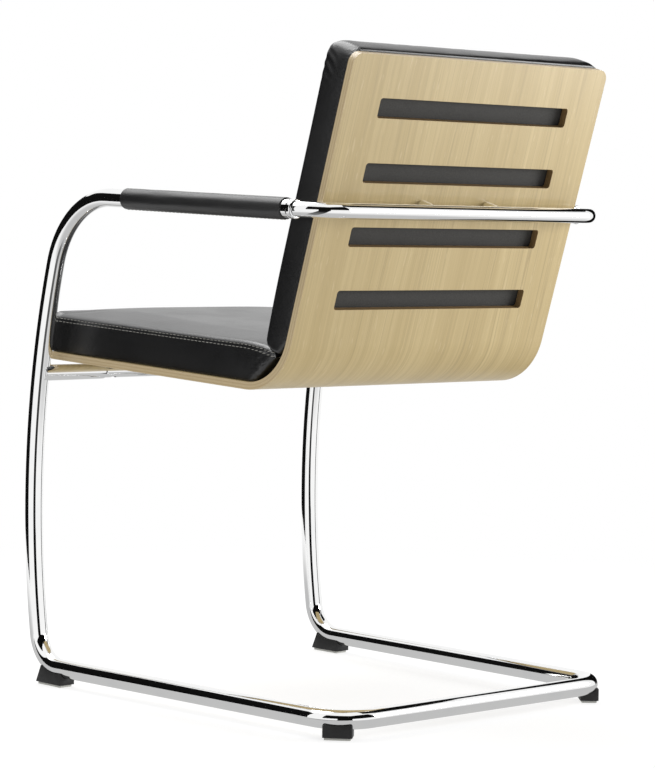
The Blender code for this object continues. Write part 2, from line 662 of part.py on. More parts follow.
# Seat pad in the seat's frame: y along the seat from the bend, z above it
seam = PAD_STANDOFF + SEAT_PAD_EDGE
nose = SEAT_PAD_SETBACK - seat_flat
rear_h = seam - SEAT_PAD_REAR_DROP
rear_a = bend_run + (rear_h * cos(shell_turn) - SEAT_PAD_REAR_GAP) / sin(shell_turn)
seam_end = rear_a - SEAT_PAD_REAR_ROUND
seam_end_h = seam - (seam_end + SEAT_PAD_DIP) ** 2 / (2 * SEAT_PAD_DIP_R)
dip = [Vector((a, seam - (a + SEAT_PAD_DIP) ** 2 / (2 * SEAT_PAD_DIP_R)))
       for a in spaced(-SEAT_PAD_DIP, seam_end, CORNER_STEPS)]
seat_outline = [(nose, PAD_STANDOFF), (SEAT_PAD_TAIL, PAD_STANDOFF), (rear_a, rear_h)] + dip[::-1]
seat_outline += arc(Vector((nose + SEAT_PAD_NOSE_R, seam - SEAT_PAD_NOSE_R)), SEAT_PAD_NOSE_R,
                    pi / 2, pi, CORNER_STEPS)
seat_pad_mesh = pad_mesh(seat_outline, SEAT_PAD_CROWN, (nose, PAD_STANDOFF), (rear_a, seam),
                         SEAT_PAD_CORNER_R)
seat_pad = part("seat_pad", seat_pad_mesh, LEATHER, SEAT)

# Back pad in the back's frame: y up the back from the bow's height, z forward of it
seat_corner = seat_end + seam_end * seat_along + seam_end_h * seat_up
foot_u = (seat_corner - back_at_bow).dot(back_up) + PAD_GAP
start_u = (back_start - back_at_bow).dot(back_up)
head_u = BACK_RISE + BACK_PAD_LAP
face_n = PAD_STANDOFF + BACK_PAD_T
back_outline = [(start_u, PAD_STANDOFF), (foot_u, PAD_STANDOFF + BACK_PAD_TAIL)]
back_outline += arc(Vector((foot_u + BACK_PAD_FOOT_R, face_n - BACK_PAD_FOOT_R)), BACK_PAD_FOOT_R,
                    pi, pi / 2, CORNER_STEPS)
back_outline += arc(Vector((head_u - BACK_PAD_HEAD_R, face_n - BACK_PAD_HEAD_R)), BACK_PAD_HEAD_R,
                    pi / 2, 0, CORNER_STEPS)
back_outline += arc(Vector((head_u - BACK_PAD_NAPE_R, PAD_STANDOFF + BACK_PAD_NAPE_R)), BACK_PAD_NAPE_R,
                    0, -pi / 2, CORNER_STEPS)
back_pad_mesh = pad_mesh(back_outline, BACK_PAD_CROWN, (foot_u, PAD_STANDOFF), (head_u, face_n),
                         BACK_PAD_CORNER_R)
back_pad = part("back_pad", back_pad_mesh, LEATHER, BACK)


def boarded(name, pad, frame, low, high):
    """Board let into the underside of a pad, between two places along it."""
    length = high - low
    width = 2 * (PAD_HALF - BOARD_MARGIN)
    place = shifted(frame, y=(low + high) / 2)
    shape = rounded(width, length, BOARD_CORNER_R)
    part(name, plate(shape, PAD_STANDOFF, PAD_STANDOFF + BOARD_T), BOARD, place)
    recess = rounded(width + 2 * FIT, length + 2 * FIT, BOARD_CORNER_R)
    worked(pad, tool(name + "_recess", plate(recess, -PAD_STANDOFF, PAD_STANDOFF + BOARD_T + FIT), place))


seat_board_low = nose + BOARD_MARGIN
boarded("seat_pad_board", seat_pad, SEAT, seat_board_low, 0)
boarded("back_pad_board", back_pad, BACK, start_u, head_u - BOARD_MARGIN)

# Fastening strips between the boards and the shell
strip = plate(rounded(STRIP_LENGTH, STRIP_WIDTH, STRIP_CORNER_R), FIT, PAD_STANDOFF - FIT)
strip_rows = {"seat_strip_front": (SEAT, seat_board_low + SEAT_STRIP_INSET),
              "seat_strip_rear": (SEAT, -SEAT_STRIP_INSET),
              "back_strip_upper": (BACK, SLOT_PITCH),
              "back_strip_lower": (BACK, -SLOT_PITCH)}
for row, (frame, station) in strip_rows.items():
    for name, side in SIDES.items():
        part(row + "_" + name, strip.copy(), STRIP, shifted(frame, x=side * STRIP_X, y=station))
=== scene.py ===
from math import asin, atan2, cos, exp, pi, radians, sin, sqrt, tan

import bmesh
import bpy
from mathutils import Matrix, Vector, noise
from mathutils.bvhtree import BVHTree
from mathutils.kdtree import KDTree


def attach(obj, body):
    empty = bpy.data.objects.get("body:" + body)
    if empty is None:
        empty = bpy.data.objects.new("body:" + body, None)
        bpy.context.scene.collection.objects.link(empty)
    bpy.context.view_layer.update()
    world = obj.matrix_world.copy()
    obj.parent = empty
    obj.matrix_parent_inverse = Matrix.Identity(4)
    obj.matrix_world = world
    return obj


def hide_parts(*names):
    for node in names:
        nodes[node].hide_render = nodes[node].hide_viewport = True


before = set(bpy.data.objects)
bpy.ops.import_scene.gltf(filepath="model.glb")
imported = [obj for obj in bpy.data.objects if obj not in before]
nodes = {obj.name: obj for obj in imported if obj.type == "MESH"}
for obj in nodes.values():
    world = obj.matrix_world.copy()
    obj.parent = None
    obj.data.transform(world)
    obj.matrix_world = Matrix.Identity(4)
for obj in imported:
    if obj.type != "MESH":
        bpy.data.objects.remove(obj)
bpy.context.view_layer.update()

scene = bpy.context.scene
print("frame loaded,", len(nodes), "nodes")

# main measures of the chair, as in the solids (metres)
chair = {
    "depth": 0.637, "gauge": 0.261, "tubeR": 0.0125, "bowR": 0.010, "railZ": 0.025, "toeIn": radians(1.64),
    "footBend": 0.051, "rearBend": 0.051, "apexZ": 0.258, "legBow": 1.25, "lean": radians(14.9),
    "legToArm": 0.005, "armBend": 0.12, "armSlope": radians(1.83),
    "sleeveFrom": 0.034, "sleeveLength": 0.3157, "tail": 0.0105, "ferrule": 0.008, "plug": 0.04,
    "bowStraight": 0.0014, "bowBend": 0.042, "fit": 0.0003, "clear": 0.0001,
    "barZ": 0.431, "barBack": 0.006, "barR": 0.0095, "mountGap": 0.0077, "socketReach": 0.106, "socketDepth": 0.035,
    "shellThick": 0.010, "shellBend": 0.075, "recline": radians(16.7), "seatSlope": radians(2.86),
    "overhang": 0.027, "spacerGap": 0.017, "slotPitch": 0.0847, "topBand": 0.0684,
}


# small hand tools
def pick(*objs):
    bpy.ops.object.select_all(action="DESELECT")
    for o in objs:
        o.select_set(True)
    bpy.context.view_layer.objects.active = objs[0]


def bakeAll(obj):  # apply every modifier, in order
    pick(obj)
    for m in list(obj.modifiers):
        bpy.ops.object.modifier_apply(modifier=m.name)


def editing(obj, choice="DESELECT"):
    pick(obj)
    bpy.ops.object.mode_set(mode="EDIT")
    bpy.ops.mesh.select_mode(type="EDGE")
    bpy.ops.mesh.select_all(action=choice)
    return bmesh.from_edit_mesh(obj.data)


def done():
    bpy.ops.object.mode_set(mode="OBJECT")


def cleaned(obj, gap=0.00001):  # weld and turn the faces outwards
    editing(obj, "SELECT")
    bpy.ops.mesh.remove_doubles(threshold=gap)
    bpy.ops.mesh.normals_make_consistent(inside=False)
    done()


def rounded(obj, angle):
    pick(obj)
    bpy.ops.object.shade_smooth_by_angle(angle=radians(angle))


def bevelEdges(obj, wanted, offset, segments):
    bm = editing(obj)
    for e in bm.edges:
        e.select_set(wanted(e))
    bm.select_flush_mode()
    bmesh.update_edit_mesh(obj.data)
    bpy.ops.mesh.bevel(offset=offset, segments=segments, affect="EDGES")
    done()


def brokenEdges(obj, width, segments):  # a narrow bevel on every sharp edge
    edge = obj.modifiers.new("edge", "BEVEL")
    edge.width = width
    edge.segments = segments
    edge.limit_method = "ANGLE"
    edge.angle_limit = radians(50)
    bakeAll(obj)


def cutAt(obj, point, normal, drop=False):  # cut across, and drop what lies beyond
    editing(obj, "SELECT")
    bpy.ops.mesh.bisect(plane_co=point, plane_no=normal, use_fill=drop, clear_outer=drop)
    done()


def box(size, centre):  # a cube at its size and place, with its place in its mesh
    bpy.ops.object.select_all(action="DESELECT")
    bpy.ops.mesh.primitive_cube_add(size=1, location=centre)
    obj = bpy.context.active_object
    obj.scale = size
    bpy.ops.object.transform_apply(location=True, rotation=True, scale=True)
    return obj


def minus(obj, cutter):
    step = obj.modifiers.new("cut", "BOOLEAN")
    step.operation = "DIFFERENCE"
    step.solver = "EXACT"
    step.object = cutter
    bakeAll(obj)
    bpy.data.objects.remove(cutter)


def fresh(name, points, edges=(), faces=()):
    mesh = bpy.data.meshes.new(name)
    mesh.from_pydata(points, list(edges), list(faces))
    obj = bpy.data.objects.new(name, mesh)
    scene.collection.objects.link(obj)
    return obj


def finished(obj, name, slotName, material, *replaced):
    obj.name = name
    obj.data.name = name
    if material:
        obj.data.materials.clear()
        obj.data.materials.append(material)
    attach(obj, "root")
    if replaced:
        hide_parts(*replaced)


def handed(node, x):
    return node + ("_left" if x > 0 else "_right")


def steps(a, b, count):
    return [a + (b - a) * i / count for i in range(count + 1)]


def arc(centre, radius, a, b, count=28):
    return [centre + radius * Vector((cos(t), sin(t))) for t in steps(a, b, count)]


def side(point, x=0.0):  # (y, z) of the side view, at x
    return Vector((x, point[0], point[1]))


def axes(origin, y, z):
    m = Matrix((y.cross(z), y, z)).transposed().to_4x4()
    m.translation = origin
    return m


# lines of the frame and the shell, worked out as in the solids
c = chair
apex = Vector((c["tubeR"] - c["depth"] / 2, c["apexZ"]))
legCentre = apex + Vector((c["legBow"], 0))
footAngle = asin((c["apexZ"] - c["footBend"] - c["railZ"]) / (c["legBow"] - c["footBend"]))
footCentre = legCentre - (c["legBow"] - c["footBend"]) * Vector((cos(footAngle), sin(footAngle)))
legTop = legCentre + c["legBow"] * Vector((-cos(c["lean"]), sin(c["lean"])))
armCentre = legTop + c["legToArm"] * Vector((sin(c["lean"]), cos(c["lean"])))
armCentre += c["armBend"] * Vector((cos(c["lean"]), -sin(c["lean"])))
armStart = armCentre + c["armBend"] * Vector((sin(c["armSlope"]), cos(c["armSlope"])))
armAlong = Vector((cos(c["armSlope"]), -sin(c["armSlope"])))
tubeEnd = c["sleeveFrom"] + c["sleeveLength"] + c["tail"]
ferruleFrom = tubeEnd + c["fit"]
bowBendAt = ferruleFrom + c["ferrule"] + c["bowStraight"]
rearY = c["depth"] / 2 - c["tubeR"]
cornerY = rearY - c["rearBend"]
cornerFromY = cornerY + c["rearBend"] * sin(c["toeIn"])
cornerFromX = c["gauge"] - tan(c["toeIn"]) * (cornerFromY - footCentre.x)
cornerCentre = Vector((cornerFromX - c["rearBend"] * cos(c["toeIn"]), cornerY))


def onArm(station):
    return armStart + station * armAlong


legAngle = asin((c["barZ"] - c["apexZ"]) / c["legBow"])
legAtBar = legCentre + c["legBow"] * Vector((-cos(legAngle), sin(legAngle)))
barAt = legAtBar + Vector((c["barBack"], 0))
bowAt = onArm(bowBendAt + c["bowBend"])
seatAlong = Vector((cos(c["seatSlope"]), -sin(c["seatSlope"])))
seatUp = Vector((sin(c["seatSlope"]), cos(c["seatSlope"])))
backUp = Vector((sin(c["recline"]), cos(c["recline"])))
rearward = Vector((cos(c["recline"]), -sin(c["recline"])))
overBar = barAt + (c["barR"] + c["mountGap"] + c["shellThick"]) * seatUp
backAtBow = bowAt - (c["bowR"] + c["spacerGap"] + c["shellThick"]) * rearward
seatRun = (backAtBow - overBar).cross(backUp) / seatAlong.cross(backUp)
shellTurn = pi / 2 - c["recline"] + c["seatSlope"]
bendRun = c["shellBend"] * tan(shellTurn / 2)
seatEnd = overBar + (seatRun - bendRun) * seatAlong
backStart = overBar + seatRun * seatAlong + bendRun * backUp
bendCentre = seatEnd + c["shellBend"] * seatUp
shellFront = overBar - c["overhang"] * seatAlong
backRise = 1.5 * c["slotPitch"] + c["topBand"]
shellTop = backAtBow + backRise * backUp
seatFrame = axes(side(seatEnd), side(seatAlong), side(seatUp))
backFrame = axes(side(backAtBow), side(backUp), side(-rearward))
armUp = side(Vector((sin(c["armSlope"]), cos(c["armSlope"]))))
across = Vector((1, 0, 0))
upright = Vector((0, 0, 1))


def armFrame(station, x):
    return axes(side(onArm(station), x), armUp, side(armAlong))


# camera at the photo's angle
camera = {"place": (2.66718, 2.85117, 0.647), "towards": (-12.05954, -12.84471, -0.58266), "roll": 0.01727,
          "lens": 133.516, "sensor": 36.0}


def addCamera():
    data = bpy.data.cameras.new("photoCamera")
    obj = bpy.data.objects.new("photoCamera", data)
    scene.collection.objects.link(obj)
    data.sensor_fit = "VERTICAL"
    data.sensor_height = camera["sensor"]
    data.lens = camera["lens"]
    data.clip_end = 100
    place = Vector(camera["place"])
    look = (Vector(camera["towards"]) - place).normalized()
    flat = look.cross(upright).normalized()
    top = flat.cross(look)
    turn = camera["roll"]
    right = cos(turn) * flat + sin(turn) * top
    high = cos(turn) * top - sin(turn) * flat
    m = Matrix((right, high, -look)).transposed().to_4x4()
    m.translation = place
    obj.matrix_world = m
    scene.camera = obj


addCamera()
print("camera set")


# shader wiring
class Wire:
    tree = None  # node tree being wired
    made = None  # material it belongs to

    def __init__(self, socket):
        self.socket = socket

    @staticmethod
    def node(kind, settings=None, inputs=None, output=0):
        made = Wire.tree.nodes.new("ShaderNode" + kind)
        for key, value in (settings or {}).items():
            setattr(made, key, value)
        for key, value in (inputs or {}).items():
            if isinstance(value, Wire):
                Wire.tree.links.new(value.socket, made.inputs[key])
            else:
                made.inputs[key].default_value = value
        return Wire(made.outputs[output])

    def maths(self, how, *others):
        return Wire.node("Math", {"operation": how}, dict(enumerate((self,) + others)))

    def __add__(self, other):
        return self.maths("ADD", other)

    def __sub__(self, other):
        return self.maths("SUBTRACT", other)

    def __rsub__(self, other):
        return Wire.node("Math", {"operation": "SUBTRACT"}, {0: other, 1: self})

    def __mul__(self, other):
        return self.maths("MULTIPLY", other)

    def __truediv__(self, other):
        return self.maths("DIVIDE", other)

    __radd__ = __add__
    __rmul__ = __mul__

    def between(self, low, high, a=0.0, b=1.0):  # smooth step from a to b
        return Wire.node("MapRange", {"interpolation_type": "SMOOTHSTEP"},
                         {"Value": self, "From Min": low, "From Max": high, "To Min": a, "To Max": b})


def mixed(factor, a, b):
    a, b = [v if isinstance(v, Wire) else (*v, 1) for v in (a, b)]
    return Wire.node("Mix", {"data_type": "RGBA", "blend_type": "MIX"}, {0: factor, 6: a, 7: b}, 2)


def vectors(how, *terms, output=0):
    return Wire.node("VectorMath", {"operation": how}, dict(enumerate(terms)), output)


def objectCoords():
    return Wire.node("TexCoord", output="Object")


def attribute(name):
    return Wire.node("Attribute", {"attribute_name": name}, output="Fac")


def stretched(coords, scale):
    return Wire.node("Mapping", inputs={"Vector": coords, "Scale": scale})


def cloud(coords, scale, detail=3.0, rough=0.55):
    return Wire.node("TexNoise", inputs={"Vector": coords, "Scale": scale, "Detail": detail, "Roughness": rough})


def bumped(height, strength, distance, normal=None):
    links = {"Height": height, "Strength": strength, "Distance": distance}
    if normal:
        links["Normal"] = normal
    return Wire.node("Bump", inputs=links)


def begin(name):
    Wire.made = bpy.data.materials.new(name)
    Wire.made.use_nodes = True
    Wire.tree = Wire.made.node_tree


def surface(colour, roughness, metallic=0.0, normal=None, **fixed):
    shader = Wire.tree.nodes["Principled BSDF"]
    for key, value in {"Base Color": colour, "Roughness": roughness, "Metallic": metallic, "Normal": normal}.items():
        if isinstance(value, Wire):
            Wire.tree.links.new(value.socket, shader.inputs[key])
        elif value is not None:
            shader.inputs[key].default_value = value
    for key, value in fixed.items():
        shader.inputs[key.replace("_", " ")].default_value = value
    return Wire.made


def chromePolish():
    begin("chromePolish")
    at = objectCoords()
    haze = cloud(at, 14, 4).between(0.35, 0.75)
    wipe = cloud(stretched(at, (900, 900, 60)), 1, 2).between(0.45, 0.8)
    ripple = cloud(at, 55, 1)
    tone = mixed(haze, (0.93, 0.93, 0.925), (0.88, 0.885, 0.89))
    return surface(tone, 0.028 + 0.03 * haze + 0.012 * wipe, 1.0, bumped(ripple, 0.02, 0.0004))


def zincSteel():
    begin("zincSteel")
    mottled = cloud(objectCoords(), 260, 4)
    tone = mixed(mottled.between(0.3, 0.7), (0.5, 0.5, 0.49), (0.68, 0.68, 0.66))
    return surface(tone, 0.25 + 0.25 * mottled, 1.0, bumped(mottled, 0.1, 0.0002))


oakLook = {"pale": (0.615, 0.485, 0.240), "mid": (0.465, 0.348, 0.150), "dark": (0.33, 0.24, 0.105),
           "pore": (0.28, 0.195, 0.09), "fleck": (0.67, 0.55, 0.33), "ply": 0.002, "slotPly": 0.00143}


def oakFace():
    begin("oakFace")
    sheet = Wire.node("UVMap", {"uv_map": "sheet"})
    drift = cloud(stretched(sheet, (6, 1.6, 1)), 1, 2)
    bent = vectors("MULTIPLY_ADD", Wire.node("CombineXYZ", inputs={0: drift}), (0.02, 0, 0), sheet)

    def grain(crosswise, lengthwise, detail, rough=0.55):  # noise drawn out along the board
        return cloud(stretched(bent, (crosswise, lengthwise, 1)), 1, detail, rough)

    wide = grain(26, 0.7, 3, 0.5).between(0.28, 0.72)
    band = grain(110, 1.3, 3, 0.6).between(0.3, 0.7)
    fine = grain(620, 5, 3, 0.6).between(0.3, 0.72)
    porous = grain(1500, 26, 2).between(0.56, 0.68) * grain(60, 2, 2).between(0.35, 0.7)
    ring = grain(75, 0.45, 1, 0.5)  # edges of the growth rings, as thin lines
    line = (ring * 7).maths("FRACT").between(0.72, 1.0) * grain(9, 1.2, 2).between(0.36, 0.62)
    fleck = grain(240, 34, 1).between(0.66, 0.74) * 0.3
    tone = mixed(0.75 * wide, oakLook["pale"], oakLook["mid"])
    for share, colour in ((0.65 * band, "mid"), (0.24 * fine, "dark"), (0.60 * line, "dark"),
                          (0.30 * porous, "pore"), (fleck, "fleck")):
        tone = mixed(share, tone, oakLook[colour])
    relief = fine * 0.5 + porous
    return surface(tone, 0.40 + 0.08 * fine - 0.03 * wide, 0.0, bumped(1 - relief, 0.12, 0.0002),
                   Specular_IOR_Level=0.5, Coat_Weight=0.5, Coat_Roughness=0.34)


def second(wire):  # the next output of the same node
    return Wire(wire.socket.node.outputs[1])


def edgeCoords():  # place on the flat sheet, with the depth below its face as third axis
    sheet = Wire.node("SeparateXYZ", inputs={0: Wire.node("UVMap", {"uv_map": "sheet"})})
    depth = attribute("depth")
    return Wire.node("CombineXYZ", inputs={0: sheet, 1: second(sheet), 2: depth}), depth


def oakEdge():
    begin("oakEdge")
    at, depth = edgeCoords()
    layer = depth / oakLook["ply"] + 0.12 * cloud(at, 22, 1)
    odd = (layer.maths("FLOORED_MODULO", 2.0) - 1).maths("ABSOLUTE").between(0.35, 0.65)
    glue = (layer.maths("FRACT") - 0.5).maths("ABSOLUTE").between(0.38, 0.5)
    streak = cloud(stretched(at, (18, 18, 2600)), 1, 4).between(0.3, 0.7)
    endGrain = cloud(at, 2400, 2).between(0.4, 0.7)
    along = mixed(0.5 * streak, (0.72, 0.58, 0.35), (0.63, 0.48, 0.27))
    crossed = mixed(0.5 * endGrain, (0.61, 0.46, 0.25), (0.52, 0.37, 0.18))
    tone = mixed(odd * 0.8, along, crossed)
    tone = mixed(0.4 * glue, tone, (0.34, 0.22, 0.10))
    return surface(tone, 0.42 + 0.10 * endGrain, 0.0, bumped(endGrain * odd + glue, 0.08, 0.0002),
                   Coat_Weight=0.6, Coat_Roughness=0.2)


# slot walls: the same plies, coloured a darker brown than the outer edges
def stainedEdge():
    begin("stainedEdge")
    at, depth = edgeCoords()
    layer = (depth / oakLook["slotPly"]).maths("FLOORED_MODULO", 2.0).between(0.9, 1.1)
    streak = cloud(stretched(at, (60, 60, 1500)), 1, 4).between(0.3, 0.7)
    tone = mixed(0.5 * streak + 0.3 * layer, (0.29, 0.185, 0.075), (0.18, 0.105, 0.04))
    return surface(tone, 0.5 + 0.15 * streak, 0.0, bumped(streak + layer, 0.12, 0.0002))


def hide(name, tone, sheenTone, rough, grainSize, grainDepth):
    begin(name)
    at = objectCoords()
    wander = cloud(at, 60, 3)
    wander = Wire.node("CombineXYZ", inputs={0: wander, 1: wander, 2: wander})
    strayed = vectors("MULTIPLY_ADD", wander, (0.004, 0.004, 0.004), at)
    cells = Wire.node("TexVoronoi", {"feature": "SMOOTH_F1"},
                      {"Vector": strayed, "Scale": 1 / grainSize, "Smoothness": 0.4})
    pebble = cells.between(0.1, 0.75)
    crease = cloud(at, 420, 2).between(0.45, 0.62)
    patchy = cloud(at, 9, 4).between(0.3, 0.7)
    colour = mixed(0.6 * patchy, tone, sheenTone)
    # painted shade: a darker copy of the tone, laid in the hollows between the pebbles of the grain
    colour = mixed(0.5 * pebble, colour, tuple(0.6 * v for v in tone))
    pleat = Wire.node("TexWave", {"bands_direction": "Z"},
                      {"Vector": at, "Scale": 55.0, "Distortion": 5.0, "Detail Scale": 3.0})
    folds = bumped(pleat * attribute("pucker"), 0.2, 0.0012)
    grain = bumped(1 - pebble + 0.4 * crease, grainDepth, 0.00025, folds)
    return surface(colour, rough + 0.06 * patchy + 0.05 * pebble, 0.0, grain, Specular_IOR_Level=0.7)


def thread():
    begin("greyThread")
    twist = Wire.node("TexWave", {"bands_direction": "DIAGONAL"},
                      {"Vector": objectCoords(), "Scale": 900.0, "Distortion": 1.5})
    return surface(mixed(twist, (0.28, 0.27, 0.25), (0.46, 0.45, 0.41)), 0.7, 0.0, bumped(twist, 0.3, 0.0002))


def boardFelt():
    begin("boardFelt")
    at = objectCoords()
    fibre = cloud(at, 700, 5, 0.7)
    blotch = cloud(at, 40, 3)
    tone = mixed(fibre.between(0.3, 0.7), (0.034, 0.033, 0.031), (0.064, 0.062, 0.058))
    tone = mixed(0.4 * blotch, tone, (0.047, 0.046, 0.043))
    return surface(tone, 0.9 - 0.1 * blotch, 0.0, bumped(fibre, 0.35, 0.0005))


def gripStrip():
    begin("gripStrip")
    loops = Wire.node("TexVoronoi", inputs={"Vector": objectCoords(), "Scale": 900.0})
    tone = mixed(loops, (0.01, 0.01, 0.01), (0.03, 0.03, 0.03))
    return surface(tone, 0.85 + 0.1 * loops, 0.0, bumped(loops, 0.5, 0.0005))


def mouldedBlack():
    begin("mouldedBlack")
    at = objectCoords()
    grain = cloud(at, 1600, 2)
    worn = cloud(at, 90, 4).between(0.45, 0.8)
    tone = mixed(worn, (0.010, 0.010, 0.0105), (0.024, 0.024, 0.024))
    return surface(tone, 0.38 + 0.14 * grain, 0.0, bumped(grain, 0.15, 0.0002))


def soleFelt():
    begin("soleFelt")
    fibre = cloud(objectCoords(), 900, 4, 0.7)
    tone = mixed(fibre, (0.46, 0.46, 0.43), (0.66, 0.66, 0.62))
    return surface(tone, 0.8 + 0.1 * fibre, 0.0, bumped(fibre, 0.3, 0.0004))


chrome = chromePolish()
steel = zincSteel()
oak = oakFace()
oakPly = oakEdge()
oakSlot = stainedEdge()
leather = hide("padLeather", (0.0092, 0.0093, 0.0098), (0.0115, 0.0116, 0.0121), 0.26, 0.0011, 0.08)
sleeveHide = hide("sleeveLeather", (0.0110, 0.0111, 0.0116), (0.0140, 0.0140, 0.0144), 0.34, 0.0009, 0.12)
threadGrey = thread()
felt = boardFelt()
strips = gripStrip()
plastic = mouldedBlack()
soles = soleFelt()
print("materials made")

# tubes: a curve with a round bevel, made a mesh
tubeEnds = {"chamfer": 0.001, "share": 0.92, "sides": 20}


def pipe(name, route, radius, endShare, node):
    curve = bpy.data.curves.new(name, "CURVE")
    curve.dimensions = "3D"
    curve.bevel_depth = radius
    curve.bevel_resolution = tubeEnds["sides"]
    curve.use_fill_caps = True
    route = route + [Vector((-p.x, p.y, p.z)) for p in reversed(route)]
    line = curve.splines.new("POLY")
    line.points.add(len(route) - 1)
    for knot, point in zip(line.points, route):
        knot.co = (*point, 1)
    for index in (0, -1):
        line.points[index].radius = endShare
    obj = bpy.data.objects.new(name, curve)
    scene.collection.objects.link(obj)
    pick(obj)
    bpy.ops.object.convert(target="MESH")
    obj = bpy.context.active_object
    cleaned(obj)
    rounded(obj, 40)
    finished(obj, name, "chrome", chrome, node)


def frameTube():
    route = [side(onArm(tubeEnd), c["gauge"]), side(onArm(tubeEnd - tubeEnds["chamfer"]), c["gauge"])]
    bends = arc(armCentre, c["armBend"], pi / 2 - c["armSlope"], pi - c["lean"])
    bends += arc(legCentre, c["legBow"], pi - c["lean"], pi + footAngle)
    bends += arc(footCentre, c["footBend"], pi + footAngle, 1.5 * pi)[1:]
    route += [side(p, c["gauge"]) for p in bends]
    route += [Vector((p.x, p.y, c["railZ"])) for p in arc(cornerCentre, c["rearBend"], c["toeIn"], pi / 2)]
    pipe("frameTube", route, c["tubeR"], tubeEnds["share"], "frame_tube")


def rearBow():
    corner = arc(Vector((c["gauge"] - c["bowBend"], bowBendAt)), c["bowBend"], 0, pi / 2)
    route = [side(onArm(tubeEnd - c["plug"]), c["gauge"])] + [side(onArm(p.y), p.x) for p in corner]
    pipe("rearBow", route, c["bowR"], 1.0, "rear_bow")


frameTube()
rearBow()
print("tubes bent")


# turned pieces: an edge profile of (radius, height), spun about its own Z
def spun(name, profile, place, count=56):
    obj = fresh(name, [(r, 0, z) for r, z in profile], [(i, i + 1) for i in range(len(profile) - 1)])
    editing(obj, "SELECT")
    bpy.ops.mesh.spin(steps=count, angle=2 * pi, center=(0, 0, 0), axis=(0, 0, 1))
    done()
    cleaned(obj)
    obj.data.transform(place)
    rounded(obj, 30)
    return obj


def bored(obj, radius, high, low, place, count=56):  # take a round bar out of a piece
    minus(obj, spun("bar", [(0, high), (radius, high), (radius, low), (0, low)], place, count))


def roundOver(r, z, radius, a, b):  # part of a rounded edge, in (radius, height)
    return [(p.x, p.y) for p in arc(Vector((r, z)), radius, a, b, 6)]


ferruleShape = {"lip": 0.0003, "bead": 0.0022, "groove": 0.0014}


def ferrule(name, x):
    f = ferruleShape
    outer = c["tubeR"] + f["lip"]
    length = c["ferrule"]
    inner = c["bowR"] + c["clear"]
    profile = [(inner, length), (outer - f["bead"], length)]
    profile += roundOver(outer - f["bead"], length - f["bead"], f["bead"], pi / 2, 0)[1:]
    profile += roundOver(outer - f["groove"], f["groove"], f["groove"], 0, -pi / 2)
    profile += [(inner, 0)]
    obj = spun(name, profile, armFrame(ferruleFrom, x))
    finished(obj, name, "chrome", chrome, handed("ferrule", x))


socketShape = {"wall": 0.0014, "taper": 0.004, "lip": 0.0004, "lap": 0.003, "endRound": 0.002, "cut": 0.05}


def socket(name, x):
    s = socketShape
    bore = c["barR"] + c["clear"]
    outer = c["barR"] + c["fit"] + s["wall"]
    length = c["socketReach"] + s["lap"]
    sign = 1 if x > 0 else -1
    profile = [(0, length), (outer - s["endRound"], length)]
    profile += roundOver(outer - s["endRound"], length - s["endRound"], s["endRound"], pi / 2, 0)[1:]
    profile += [(outer, s["taper"]), (bore + s["lip"], 0), (bore, 0)]
    profile += [(bore, c["socketDepth"]), (0, c["socketDepth"])]
    mouth = axes(side(barAt, sign * (c["gauge"] - c["socketReach"])), upright, sign * across)
    obj = spun(name, profile, mouth)
    leg = axes(side(legAtBar, x), across, side(Vector((sin(legAngle), cos(legAngle)))))
    bored(obj, c["tubeR"] + c["clear"], s["cut"], -s["cut"], leg)
    rounded(obj, 30)
    finished(obj, name, "chrome", chrome, handed("crossbar_socket", x))


barShape = {"edge": 0.0006, "screwX": 0.14, "pocketR": 0.0063, "pocketFrom": -0.004, "pocketTo": -0.02}


def crossbar():
    s = barShape
    half = c["gauge"] - c["socketReach"] + c["socketDepth"] - c["fit"]
    r = c["barR"]
    profile = [(0, half), (r - s["edge"], half), (r, half - s["edge"])]
    profile += [(r, -half + s["edge"]), (r - s["edge"], -half), (0, -half)]
    obj = spun("crossbar", profile, axes(side(barAt), upright, across))
    for x in (s["screwX"], -s["screwX"]):  # pockets of the seat screws
        place = axes(side(barAt, x), side(seatAlong), side(seatUp))
        bored(obj, s["pocketR"], s["pocketFrom"], s["pocketTo"], place, 32)
    rounded(obj, 30)
    finished(obj, "crossbar", "chrome", chrome, "seat_crossbar")


spacerShape = {"x": 0.060, "r": 0.009, "bore": 0.0032, "edge": 0.0008, "saddle": 0.004, "cut": 0.03}


def spacer(name, x):
    s = spacerShape
    top = -c["shellThick"] - c["clear"]
    end = -c["shellThick"] - c["spacerGap"] - s["saddle"]
    profile = [(s["bore"], top), (s["r"] - s["edge"], top), (s["r"], top - s["edge"])]
    profile += [(s["r"], end), (s["bore"], end), (s["bore"], top)]
    obj = spun(name, profile, backFrame @ Matrix.Translation((x, 0, 0)))
    bored(obj, c["bowR"] + c["clear"], s["cut"], -s["cut"], axes(side(bowAt, x), upright, across))
    rounded(obj, 30)
    finished(obj, name, "chrome", chrome, handed("back_spacer", x))


for sideName, sign in (("Left", 1), ("Right", -1)):
    ferrule("ferrule" + sideName, sign * c["gauge"])
    socket("socket" + sideName, sign * c["gauge"])
    spacer("spacer" + sideName, sign * spacerShape["x"])
crossbar()
print("turned pieces made")

# plywood shell: cut and rounded as a flat board, then wrapped round its bend
shellBoard = {"half": 0.2346, "cornerR": 0.014, "edge": 0.0008, "slotHalf": 0.174, "slotHigh": 0.026, "slotR": 0.004,
              "slotRim": 0.001, "endBand": 0.02, "bendCuts": 32, "screwX": 0.060, "screwR": 0.0064, "insertX": 0.14,
              "insertR": 0.0053, "insertDeep": 0.0078}


